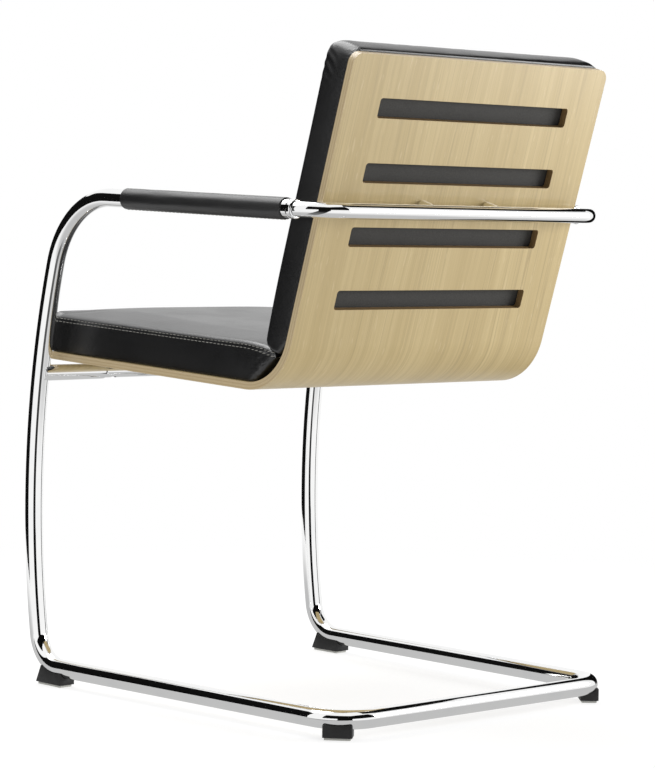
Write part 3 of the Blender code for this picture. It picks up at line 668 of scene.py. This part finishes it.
def plywoodShell():
    s = shellBoard
    thick = c["shellThick"]
    seatFlat = (seatEnd - shellFront).length
    bendFlat = c["shellBend"] * shellTurn
    backFlat = (shellTop - backStart).length
    full = seatFlat + bendFlat + backFlat
    bowLine = seatFlat + bendFlat + (backAtBow - backStart).dot(backUp)
    barLine = c["overhang"]
    board = box((2 * s["half"], full, thick), (0, full / 2, -thick / 2))
    upEdge = lambda e: abs(e.verts[0].co.z - e.verts[1].co.z) > thick / 2
    bevelEdges(board, upEdge, s["cornerR"], 8)
    for row in (-1.5, -0.5, 0.5, 1.5):
        cutter = box((2 * s["slotHalf"], s["slotHigh"], 3 * thick), (0, bowLine + row * c["slotPitch"], -thick / 2))
        bevelEdges(cutter, upEdge, s["slotR"], 5)
        minus(board, cutter)
    for x, line, r, high in ((s["screwX"], bowLine, s["screwR"], thick),
                             (s["insertX"], barLine, s["insertR"], s["insertDeep"] - thick)):
        for sign in (1, -1):
            bored(board, r, high, -2 * thick, Matrix.Translation((sign * x, line, 0)), 24)
    brokenEdges(board, s["edge"], 2)
    for station in steps(seatFlat, seatFlat + bendFlat, s["bendCuts"]):
        cutAt(board, (0, station, 0), (0, 1, 0))
    mesh = board.data
    for finish in (oak, oakPly, oakSlot):
        mesh.materials.append(finish)
    sheet = mesh.uv_layers.new(name="sheet")
    depth = mesh.attributes.new("depth", "FLOAT", "POINT")
    for loop in mesh.loops:
        p = mesh.vertices[loop.vertex_index].co
        sheet.data[loop.index].uv = (p.x, p.y)
    for v in mesh.vertices:
        depth.data[v.index].value = -v.co.z
    for f in mesh.polygons:
        inner = abs(f.center.x) < s["slotHalf"] + s["slotRim"] and s["endBand"] < f.center.y < full - s["endBand"]
        f.material_index = 0 if abs(f.normal.z) > 0.95 else 2 if inner else 1
    for v in mesh.vertices:
        x, run, deep = v.co.x, v.co.y, -v.co.z
        if run <= seatFlat:
            p = shellFront + run * seatAlong - deep * seatUp
        elif run < seatFlat + bendFlat:
            t = (run - seatFlat) / c["shellBend"] - pi / 2 - c["seatSlope"]
            p = bendCentre + (c["shellBend"] + deep) * Vector((cos(t), sin(t)))
        else:
            p = backStart + (run - seatFlat - bendFlat) * backUp + deep * rearward
        v.co = side(p, x)
    rounded(board, 40)
    even = board.modifiers.new("even", "WEIGHTED_NORMAL")
    even.keep_sharp = True
    bakeAll(board)
    finished(board, "plywoodShell", "oak_plywood", None, "plywood_shell")


plywoodShell()
print("shell bent")

# glides, soles, mounting pads and seat screws: copies of the solids with their edges broken
softEdges = {
    "front_glide": ("frontGlide", 0.0008, 3, "black_plastic", plastic),
    "rear_glide": ("rearGlide", 0.0008, 3, "black_plastic", plastic),
    "front_sole": ("frontSole", 0.0006, 3, "grey_sole", soles),
    "rear_sole": ("rearSole", 0.0006, 3, "grey_sole", soles),
    "seat_mount_pad": ("mountPad", 0.0007, 3, "black_plastic", plastic),
    "seat_screw": ("seatScrew", 0.0003, 2, "zinced_steel", steel),
}
copyClean = {"weld": 0.00002, "flat": radians(3)}


def softened(node, name, width, segments, slotName, material):
    obj = nodes[node].copy()
    obj.data = nodes[node].data.copy()
    scene.collection.objects.link(obj)
    obj.parent = None
    obj.matrix_world = Matrix()
    cleaned(obj, copyClean["weld"])
    editing(obj, "SELECT")
    bpy.ops.mesh.dissolve_limited(angle_limit=copyClean["flat"])
    done()
    brokenEdges(obj, width, segments)
    rounded(obj, 40)
    finished(obj, name, slotName, material, node)


for sideName in ("left", "right"):
    for node, (name, *rest) in softEdges.items():
        softened(node + "_" + sideName, name + sideName.capitalize(), *rest)
print("glides and pads softened")

# stitches: one little capsule, copied along a row
stitchShape = {"long": 0.0062, "pitch": 0.0076, "thick": 0.0010, "sink": 0.25}


def stitchRow(places, name):  # places are (point, along, outward)
    bpy.ops.object.select_all(action="DESELECT")
    bpy.ops.mesh.primitive_uv_sphere_add(segments=6, ring_count=4, radius=0.5)
    one = bpy.context.active_object
    s = stitchShape
    one.scale = (s["thick"], s["thick"], s["long"])
    bpy.ops.object.transform_apply(location=False, rotation=False, scale=True)
    bm = bmesh.new()
    for point, along, outward in places:
        along = (along - along.dot(outward) * outward).normalized()
        copy = one.data.copy()
        copy.transform(axes(point + (0.5 - s["sink"]) * s["thick"] * 0.5 * outward, outward, along))
        bm.from_mesh(copy)
        bpy.data.meshes.remove(copy)
    bpy.data.objects.remove(one)
    obj = fresh(name, [])
    bm.to_mesh(obj.data)
    bm.free()
    pick(obj)
    bpy.ops.object.shade_smooth()
    finished(obj, name, None, threadGrey)


# arm sleeves: leather wrapped round the tube and sewn along its underside
sleeveShape = {"skin": 0.0013, "hem": 0.0022, "lip": 0.0004, "turnIn": 0.0003, "inside": 0.0005, "rings": 60,
               "sides": 64, "puff": 0.00025, "puffRound": 3, "puffAlong": 26, "seamWide": 0.0016,
               "seamDeep": 0.0006, "stitchEnd": 0.006, "stitchSwing": 0.17}


def armSleeve(name, x):
    s = sleeveShape
    outer = c["tubeR"] + c["fit"] + s["skin"]
    inner = c["tubeR"] + c["clear"]
    length = c["sleeveLength"]

    def hem(z, a, b):
        return [(min(r, outer), h) for r, h in roundOver(outer - s["hem"] * 0.6, z, s["hem"], a, b)]

    profile = [(inner, length - s["lip"]), (inner + s["turnIn"], length)]
    profile += hem(length - s["hem"], pi / 2, 0)[1:]
    profile += [(outer, z) for z in steps(length - 1.5 * s["hem"], 1.5 * s["hem"], s["rings"])]
    profile += hem(s["hem"], 0, -pi / 2)[:-1]
    profile += [(inner + s["turnIn"], 0), (inner, s["lip"]), (inner, length - s["lip"])]
    obj = spun(name, profile, Matrix(), s["sides"])
    start = 7 if x > 0 else 0  # the two sleeves differ
    for v in obj.data.vertices:  # a little life in the skin, and the sewn seam below
        r = sqrt(v.co.x ** 2 + v.co.y ** 2)
        if r < inner + s["inside"]:
            continue
        turn = atan2(v.co.y, v.co.x)
        at = (s["puffRound"] * cos(turn), s["puffRound"] * sin(turn), s["puffAlong"] * v.co.z + start)
        lift = s["puff"] * noise.noise(Vector(at))
        off = abs(turn + pi / 2) * outer
        lift -= s["seamDeep"] * exp(-(off / s["seamWide"]) ** 2)
        v.co.x *= 1 + lift / r
        v.co.y *= 1 + lift / r
    place = armFrame(c["sleeveFrom"], x)
    turned = place.to_3x3()
    end = s["stitchEnd"]
    rows = []
    for spot in steps(end, length - end, int((length - 2 * end) / stitchShape["pitch"])):
        for swing in (-s["stitchSwing"], s["stitchSwing"]):
            outward = Vector((cos(swing - pi / 2), sin(swing - pi / 2), 0))
            rows.append((place @ (outward * outer + spot * upright), turned @ upright, turned @ outward))
    obj.data.transform(place)
    rounded(obj, 45)
    stitchRow(rows, name + "Stitches")
    finished(obj, name, "sleeve_leather", sleeveHide, handed("arm_sleeve", x))


armSleeve("armSleeveLeft", c["gauge"])
armSleeve("armSleeveRight", -c["gauge"])
print("sleeves sewn")

# pads: a plain block, remeshed, filled by the cloth solver, made flat below, then seamed and stitched
padRun = {"voxel": 0.005, "ease": 6, "frames": 20, "pressure": 4.0, "weight": 0.003, "quality": 5, "stiff": 12,
          "bending": 0.8, "below": 0.010, "near": 0.001, "heldBelow": 0.004, "heldWide": 0.010, "capFrom": 0.004,
          "capRun": 0.008, "seamStep": 0.004, "room": 0.0028, "weld": 0.0003, "reach": 0.05}


def padBlock(s):
    low = s["stand"] - padRun["below"]
    return box((2 * s["half"], s["high"] - s["low"], s["top"] - low),
               (0, (s["high"] + s["low"]) / 2, (s["top"] + low) / 2))


def bothEnds(*tests):  # picks an edge if both its points pass every test
    return lambda e: all(test(v) for v in e.verts for test in tests)


def seamH(s, y):  # height of a pad's seam, which dips at the back of the seat
    dipFrom, dipR = s["dip"]
    return s["top"] - max(0.0, y - dipFrom) ** 2 / (2 * dipR)


def remeshed(obj):
    pick(obj)
    obj.data.remesh_voxel_size = padRun["voxel"]
    obj.data.use_remesh_fix_poles = True
    bpy.ops.object.voxel_remesh()
    soft = obj.modifiers.new("ease", "SMOOTH")
    soft.factor = 0.5
    soft.iterations = padRun["ease"]
    bakeAll(obj)


def crowned(obj, s):  # fuller in the middle, and drawn in at the sides between the corners
    middle = (s["low"] + s["high"]) / 2
    reach = (s["high"] - s["low"]) / 2
    sharp, steep = s["flat"]
    for v in obj.data.vertices:
        x, y, z = v.co
        t = min(1.0, abs(y - middle) / reach)
        w = min(1.0, abs(x) / s["half"])
        share = max(0.0, (z - s["stand"]) / (s["top"] - s["stand"]))
        over = (1 - w ** sharp) * (1 - t ** steep)  # 1 in the middle, 0 at the sides and ends
        slim = s["slim"] * max(0.0, (middle - y) / reach) ** 3
        lift = ((s["crown"] - s["tilt"] * (y - middle)) * over - slim) * share ** 2
        v.co = (x * (1 - s["drawIn"] * (1 - t * t) / s["half"]), y, z + lift)


def planPath(half, low, high, lowR, highR, pitch):  # closed path, as (place, outward) a pitch apart
    corners = [(half - lowR, low + lowR, lowR, -pi / 2), (half - highR, high - highR, highR, 0),
               (highR - half, high - highR, highR, pi / 2), (lowR - half, low + lowR, lowR, pi)]
    dense = []
    for x, y, r, a in corners:
        for t in steps(a, a + pi / 2, 12):
            outward = Vector((cos(t), sin(t)))
            dense.append((Vector((x, y)) + r * outward, outward))
    dense.append(dense[0])
    path = []
    carry = 0.0
    for (p, n), (q, m) in zip(dense, dense[1:]):
        long = (q - p).length
        while carry < long:
            share = carry / long if long else 0
            path.append((p.lerp(q, share), n.lerp(m, share).normalized()))
            carry += pitch
        carry -= long
    return path


def around(s, pitch):
    near = padRun["near"]
    return planPath(s["half"] - near, s["low"] + near, s["high"] - s["inset"], s["lowR"], s["highR"], pitch)


def nearest(points):
    tree = KDTree(len(points))
    for i, p in enumerate(points):
        tree.insert(p, i)
    tree.balance()
    return tree


def filled(obj, s):  # held below and along its seam, with a cap on each point's move
    run = padRun
    start = [v.co.copy() for v in obj.data.vertices]
    grip, drop = s["hold"]
    seam = nearest([Vector((p.x, p.y, seamH(s, p.y) - drop)) for p, n in around(s, run["seamStep"])])
    pins = obj.vertex_groups.new(name="held")
    for v in obj.data.vertices:
        held = grip * exp(-(seam.find(v.co)[2] / run["heldWide"]) ** 2)
        pins.add([v.index], 1.0 if v.co.z < s["stand"] + run["heldBelow"] else held, "REPLACE")
    cloth = obj.modifiers.new("fill", "CLOTH")
    setup = cloth.settings
    setup.quality = run["quality"]
    setup.mass = run["weight"]
    setup.use_pressure = True
    setup.uniform_pressure_force = run["pressure"]
    setup.effector_weights.gravity = 0
    setup.vertex_group_mass = "held"
    setup.tension_stiffness = run["stiff"]
    setup.compression_stiffness = run["stiff"]
    setup.bending_stiffness = run["bending"]
    cloth.collision_settings.use_collision = False
    cloth.collision_settings.use_self_collision = False
    cloth.point_cache.frame_start = 1
    cloth.point_cache.frame_end = run["frames"]
    for f in range(1, run["frames"] + 1):
        scene.frame_set(f)
    bakeAll(obj)
    scene.frame_set(1)
    far = 0.0
    for v, before in zip(obj.data.vertices, start):
        step = v.co - before
        share = min(1.0, max(0.0, (before.z - s["top"] + run["capFrom"]) / run["capRun"]))
        most = s["sideCap"] + (s["topCap"] - s["sideCap"]) * share
        far = max(far, step.length)
        if step.length > most:
            v.co = before + step * (most / step.length)
    print("filled, moved up to %.1f mm" % (far * 1000))


def refined(obj):
    sub = obj.modifiers.new("refine", "SUBSURF")
    sub.levels = 1
    sub.render_levels = 1
    bakeAll(obj)


def trimmed(obj, s):  # flat where it rests, with a pocket for its board (x, low y, high y, top z)
    x, low, high, top = s["board"]
    room = padRun["room"]
    for v in obj.data.vertices:
        if v.co.z < s["under"]:
            pocket = abs(v.co.x) < x + room and low - room < v.co.y < high + room
            v.co.z = top if pocket else s["under"]
    cleaned(obj, padRun["weld"])


def seamRows(obj, s, pitch, angles):  # points on the shoulder at each angle above the plan, all round the pad
    tree = BVHTree.FromObject(obj, bpy.context.evaluated_depsgraph_get())
    path = around(s, pitch)
    core = s["core"]
    rows = [[] for a in angles]
    for i, (p, n) in enumerate(path):
        ahead = path[(i + 1) % len(path)][0] - path[i - 1][0]
        along = Vector((ahead.x, ahead.y, 0)).normalized()
        centre = Vector((p.x - core * n.x, p.y - core * n.y, seamH(s, p.y) - core))
        for row, a in zip(rows, angles):
            out = Vector((cos(a) * n.x, cos(a) * n.y, sin(a)))
            spot, normal = tree.ray_cast(centre + padRun["reach"] * out, -out)[:2]
            if spot:
                row.append((spot, along, normal))
    return rows


def grooved(obj, lines, deep, wide):
    tree = nearest(lines)
    normals = [v.normal.copy() for v in obj.data.vertices]
    for v, n in zip(obj.data.vertices, normals):
        gap = tree.find(v.co)[2]
        if gap < 3 * wide:
            v.co -= deep * exp(-(gap / wide) ** 2) * n


def sewn(obj, s, name, place, cornerSeams=()):  # flat below, seamed and stitched, then put in its place
    trimmed(obj, s)
    line, = seamRows(obj, s, padRun["seamStep"], (s["seamAt"],))
    grooved(obj, [spot for spot, along, n in line] + list(cornerSeams), s["seamDeep"], s["seamWide"])
    tucks = obj.data.attributes.new("pucker", "FLOAT", "POINT")  # how far the leather is drawn into tucks
    axis, middle, wide, band = s["pucker"]
    for v in obj.data.vertices:
        drawn = exp(-((v.co[axis] - middle) / wide) ** 2)
        tucks.data[v.index].value = drawn if abs(v.co.x) > s["half"] - band else 0.0
    rows = seamRows(obj, s, stitchShape["pitch"], s["rows"])
    turn = place.to_3x3()
    stitchRow([(place @ p, turn @ a, turn @ n) for p, a, n in rows[0] + rows[1]], name + "Stitches")
    obj.data.transform(place)
    rounded(obj, 60)
    finished(obj, name + "Pad", "black_leather", leather, name + "_pad")


# seat pad, from its nose (low) to its rear (high)
seatPad = {"half": 0.2286, "low": -0.4210, "high": 0.0491, "stand": 0.002, "top": 0.0532, "tail": 0.0105,
           "rearH": 0.036, "dip": (-0.02, 0.275), "dipTo": 0.035, "inset": 0.006, "lowR": 0.006, "highR": 0.010,
           "frontEdge": 0.003, "shoulder": 0.011, "crown": 0.0042, "tilt": 0.012, "flat": (4, 16), "slim": 0.0,
           "drawIn": 0.002, "hold": (0.9, 0.004), "topCap": 0.0045, "sideCap": 0.0018, "wrinkle": 0.0005,
           "tuckBand": 0.012, "tuckTurns": 15, "tuckFade": 0.032, "tuckFrom": 0.008, "under": 0.0006,
           "board": (0.2159, -0.4034, 0.0003, 0.0063), "core": 0.012, "seamAt": radians(18), "seamDeep": 0.0009,
           "seamWide": 0.0016, "cornerSeam": (0.002, 0.006), "rows": (radians(29), radians(7)),
           "pucker": (1, 0.03, 0.02, 0.01)}


def seatCushion():
    s = seatPad
    near = padRun["near"]
    obj = padBlock(s)
    dipFrom = s["dip"][0]
    for y in steps(dipFrom, s["dipTo"], 4):
        cutAt(obj, (0, y, 0), (0, 1, 0))
    cutAt(obj, (0, 0, s["rearH"]), (0, 0, 1))
    lean = (s["high"] - s["tail"]) / (s["rearH"] - s["stand"])
    heel = s["tail"] - padRun["below"] * lean
    for v in obj.data.vertices:  # rear end sloped in below, top dipped behind
        x, y, z = v.co
        if z < s["stand"] - padRun["below"] + near and y > dipFrom:
            v.co.y = dipFrom + (y - dipFrom) / (s["high"] - dipFrom) * (heel - dipFrom)
        elif z > s["rearH"] + near:
            y = min(y, s["high"] - s["inset"])
            v.co = (x, y, seamH(s, y))
    onTop = lambda v: v.co.z > s["rearH"] + near
    atSide = lambda v: abs(v.co.x) > s["half"] - near
    atNose = lambda v: v.co.y < s["low"] + near
    byNose = lambda v: v.co.y < s["low"] + s["frontEdge"] + near
    bevelEdges(obj, bothEnds(atSide, atNose), s["frontEdge"], 2)
    bevelEdges(obj, lambda e: bothEnds(onTop, atSide)(e) or bothEnds(onTop, byNose)(e), s["shoulder"], 3)
    remeshed(obj)
    crowned(obj, s)
    filled(obj, s)
    refined(obj)
    corner = Vector((0, s["high"] - s["inset"], seamH(s, s["high"])))
    for v in obj.data.vertices:  # tucks where the side panel runs into the rear corner
        if abs(v.co.x) > s["half"] - s["tuckBand"] and v.co.z > s["stand"] + padRun["heldBelow"]:
            dy = v.co.y - corner.y
            dz = v.co.z - corner.z
            far = sqrt(dy * dy + dz * dz)
            wave = sin(s["tuckTurns"] * atan2(dz, dy) + 2.5 * noise.noise(v.co * 60))
            wave = wave * exp(-(far / s["tuckFade"])) * min(1.0, far / s["tuckFrom"])
            v.co.x += (1 if v.co.x > 0 else -1) * s["wrinkle"] * wave
    inward, ahead = s["cornerSeam"]
    seams = [Vector((sign * (s["half"] - inward), s["tail"] + (s["high"] - s["tail"]) * t - ahead,
                     s["stand"] + (s["rearH"] - s["stand"]) * t)) for sign in (1, -1) for t in steps(0, 1, 24)]
    sewn(obj, s, "seat", seatFrame, seams)


seatCushion()
print("seat pad filled")

# back pad, from its foot (low) to its head (high); its seam has no dip
backPad = {"half": 0.2286, "low": -0.2089, "high": 0.2010, "stand": 0.002, "top": 0.0515, "start": -0.1867,
           "tail": 0.012, "dip": (1, 1), "inset": 0.001, "lowR": 0.016, "highR": 0.018, "shoulder": 0.008,
           "crown": 0.005, "tilt": 0.0, "flat": (5, 5), "slim": 0.007, "drawIn": 0.002, "hold": (0.8, 0.002),
           "topCap": 0.0045, "sideCap": 0.0018, "foldsFrom": 0.006, "wrinkle": 0.0004, "slackDown": 0.045,
           "slackAside": 0.05, "crease": 0.0004, "creaseBand": 0.012, "creaseAt": 0.032, "creaseLong": 0.022,
           "creasePitch": 0.0125, "creaseFrom": 0.024, "creaseRise": 0.012, "under": 0.001,
           "board": (0.2159, -0.1870, 0.1850, 0.0063), "core": 0.010, "seamAt": radians(72), "seamDeep": 0.0009,
           "seamWide": 0.0016, "rows": (radians(84), radians(60)), "pucker": (2, 0.005, 0.009, 0.012)}


def backCushion():
    s = backPad
    near = padRun["near"]
    obj = padBlock(s)
    slope = Vector((0, -s["tail"], -(s["start"] - s["low"]))).normalized()
    cutAt(obj, (0, s["start"], s["stand"]), slope, True)
    inFront = lambda v: v.co.z > s["top"] - near
    atSide = lambda v: abs(v.co.x) > s["half"] - near
    inside = lambda v: abs(v.co.x) < s["half"] - near
    atFoot = lambda v: v.co.y < s["low"] + near
    overFoot = lambda v: v.co.y > s["low"] + s["lowR"] - near
    atHead = lambda v: v.co.y > s["high"] - near
    byHead = lambda v: v.co.y > s["high"] - s["highR"] - near
    bevelEdges(obj, bothEnds(atSide, atHead), s["highR"], 5)
    bevelEdges(obj, bothEnds(inFront, atFoot), s["lowR"], 6)
    bevelEdges(obj, lambda e: bothEnds(inFront, overFoot)(e) and not bothEnds(inside)(e)
               or bothEnds(inFront, byHead)(e), s["shoulder"], 3)
    remeshed(obj)
    crowned(obj, s)
    filled(obj, s)
    refined(obj)
    normals = [v.normal.copy() for v in obj.data.vertices]
    for v, n in zip(obj.data.vertices, normals):  # slack over the top edge, and short creases round its two corners
        x, y, z = v.co
        if z > s["stand"] + s["foldsFrom"]:
            down = s["high"] - y
            aside = s["half"] - abs(x)
            lift = s["wrinkle"] * max(0.0, 1 - down / s["slackDown"])
            lift *= 0.6 + 1.2 * max(0.0, 1 - aside / s["slackAside"])
            lift *= noise.noise(Vector((42 * x + 30 * z, 26 * z - 9 * x, 1.7)))
            edge = exp(-(aside / s["creaseBand"]) ** 2) * exp(-((down - s["creaseAt"]) / s["creaseLong"]) ** 2)
            edge *= min(1.0, max(0.0, (z - s["creaseFrom"]) / s["creaseRise"]))
            wave = sin(2 * pi * (down + 0.4 * z) / s["creasePitch"] + 2 * noise.noise(v.co * 50))
            v.co += n * (lift + s["crease"] * edge * wave)
    sewn(obj, s, "back", backFrame)


backCushion()
print("back pad filled")

# solids that stay, with their own finishes
for name, obj in nodes.items():
    for part, finish in (("_board", felt), ("_strip_", strips), ("back_screw", steel), ("seat_insert", steel)):
        if part in name:
            obj.data.materials.clear()
            obj.data.materials.append(finish)

# studio: pale floor, white surround, soft lamps, and black cards that only reflections see
studio = {"floor": 14.0, "floorZ": -0.0005, "floorGrey": 0.35, "floorGlow": 0.76, "floorBounce": 0.62,
          "farBounce": 0.8, "floorMirrored": 0.56, "surround": 0.40, "near": 0.75, "far": 1.7}
floorShadeWedge = {"from": (0.261, -0.29), "turn": (radians(42.5), radians(70.5)), "edge": 0.03,
         "start": (0.35, 0.7), "fade": (0.8, 2.0, 0.16, 0.012)}  # painted shade on the floor towards the camera, which only reflections see
cards = {"flag": [(1.65, -0.92), (0.50, -1.90), 0.0, 1.7], "flagWide": [(0.50, -1.90), (-0.50, -2.30), 0.0, 1.5],
         "gap": [(3.45, 2.60), (1.65, 4.30), 0.0, 5.0], "roomLeft": [(4.7, 0.2), (3.45, 2.60), 1.2, 5.0],
         "roomRight": [(1.65, 4.30), (-2.6, 3.5), 1.2, 5.0], "strip": [(-0.60, 0.0), (-0.72, 0.27), 0.0, 1.5]}
canopy = {"x": (-1.9, -0.5), "y": (-0.1, 1.2), "z": 2.0}
lamps = {"topLamp": [(0.2, -1.2, 2.9), (0, 0, 0.5), (2.4, 1.6), 55],
         "sideLamp": [(-1.35, 1.30, 0.80), (0, 0.25, 0.6), (1.0, 0.7), 21]}  # place, aim, size, watts


def rayIs(which):
    return Wire.node("LightPath", output="Is %s Ray" % which)


def seenRays():
    return (rayIs("Camera") + rayIs("Glossy") + rayIs("Transmission")).maths("MINIMUM", 1.0)


def glowing(strength):
    return Wire.node("Emission", inputs={"Strength": strength})


def blended(factor, a, b):
    return Wire.node("MixShader", inputs={0: factor, 1: a, 2: b})


def paleFloor():
    s = studio
    bpy.ops.object.select_all(action="DESELECT")
    bpy.ops.mesh.primitive_plane_add(size=s["floor"], location=(0, 0, s["floorZ"]))
    floor = bpy.context.active_object
    floor.name = "paleFloor"
    begin("paleFloor")
    tree = Wire.tree
    tree.nodes.remove(tree.nodes["Principled BSDF"])
    at = objectCoords()
    speck = cloud(at, 300, 2).between(0.3, 0.7)
    grey = s["floorGrey"]
    matt = Wire.node("BsdfDiffuse", inputs={"Color": mixed(speck, (grey,) * 3, (grey + 0.01,) * 3)})
    glow = glowing(s["floorBounce"] + (s["floorGlow"] - s["floorBounce"]) * seenRays())
    close = Wire.node("AddShader", inputs={0: matt, 1: glow})
    white = glowing(s["farBounce"] + (1 - s["farBounce"]) * seenRays())
    away = vectors("LENGTH", at, output="Value").between(s["near"], s["far"])
    seen = blended(away, close, white)
    # painted shade: the floor that reflections see is darker near the chair and white further off
    level = s["floorMirrored"] + (1 - s["floorMirrored"]) * away
    leg = vectors("SUBTRACT", at, (*floorShadeWedge["from"], 0))
    run = Wire.node("SeparateXYZ", inputs={0: leg})
    turn = second(run).maths("ARCTAN2", run)
    low, high = floorShadeWedge["turn"]
    edge = floorShadeWedge["edge"]
    reach = vectors("LENGTH", leg, output="Value")
    inside = turn.between(low - edge, low + edge) * turn.between(high - edge, high + edge, 1.0, 0.0)
    inside *= reach.between(*floorShadeWedge["start"])
    # painted shade: the floor that reflections see goes darker in a wedge towards the camera
    level = level * (1 - inside) + inside * reach.between(*floorShadeWedge["fade"])
    total = blended(rayIs("Glossy"), seen, glowing(level))
    tree.links.new(total.socket, tree.nodes["Material Output"].inputs["Surface"])
    floor.data.materials.append(Wire.made)


def darkCloth():
    begin("darkCloth")
    weave = cloud(objectCoords(), 40, 3)
    return surface(mixed(weave, (0.004, 0.004, 0.004), (0.008, 0.008, 0.008)), 0.95, Specular_IOR_Level=0.0)


def card(name, points, material):
    obj = fresh(name, points, [], [(0, 1, 2, 3)])
    obj.data.materials.append(material)
    obj.visible_camera = False
    obj.visible_diffuse = False
    obj.visible_shadow = False
    obj.visible_transmission = False


def surround():
    world = bpy.data.worlds.new("surround")
    scene.world = world
    world.use_nodes = True
    Wire.tree = world.node_tree
    shade = Wire.tree.nodes["Background"]
    level = studio["surround"] + seenRays() * (1 - studio["surround"])
    shade.inputs["Color"].default_value = (1, 1, 1, 1)
    Wire.tree.links.new(level.socket, shade.inputs["Strength"])


def softLamp(name, place, aim, size, power):
    data = bpy.data.lights.new(name, "AREA")
    data.shape = "RECTANGLE"
    data.size, data.size_y = size
    data.energy = power
    obj = bpy.data.objects.new(name, data)
    scene.collection.objects.link(obj)
    look = (Vector(aim) - Vector(place)).normalized()
    obj.rotation_euler = look.to_track_quat("-Z", "Y").to_euler()
    obj.location = place


scene.view_settings.view_transform = "Standard"
paleFloor()
cloth = darkCloth()
for name, (p, q, low, high) in cards.items():
    card(name, [(*p, low), (*q, low), (*q, high), (*p, high)], cloth)
(x0, x1), (y0, y1), z = canopy["x"], canopy["y"], canopy["z"]
card("canopy", [(x0, y0, z), (x1, y0, z), (x1, y1, z), (x0, y1, z)], cloth)
surround()
for name, values in lamps.items():
    softLamp(name, *values)
print("studio lit")
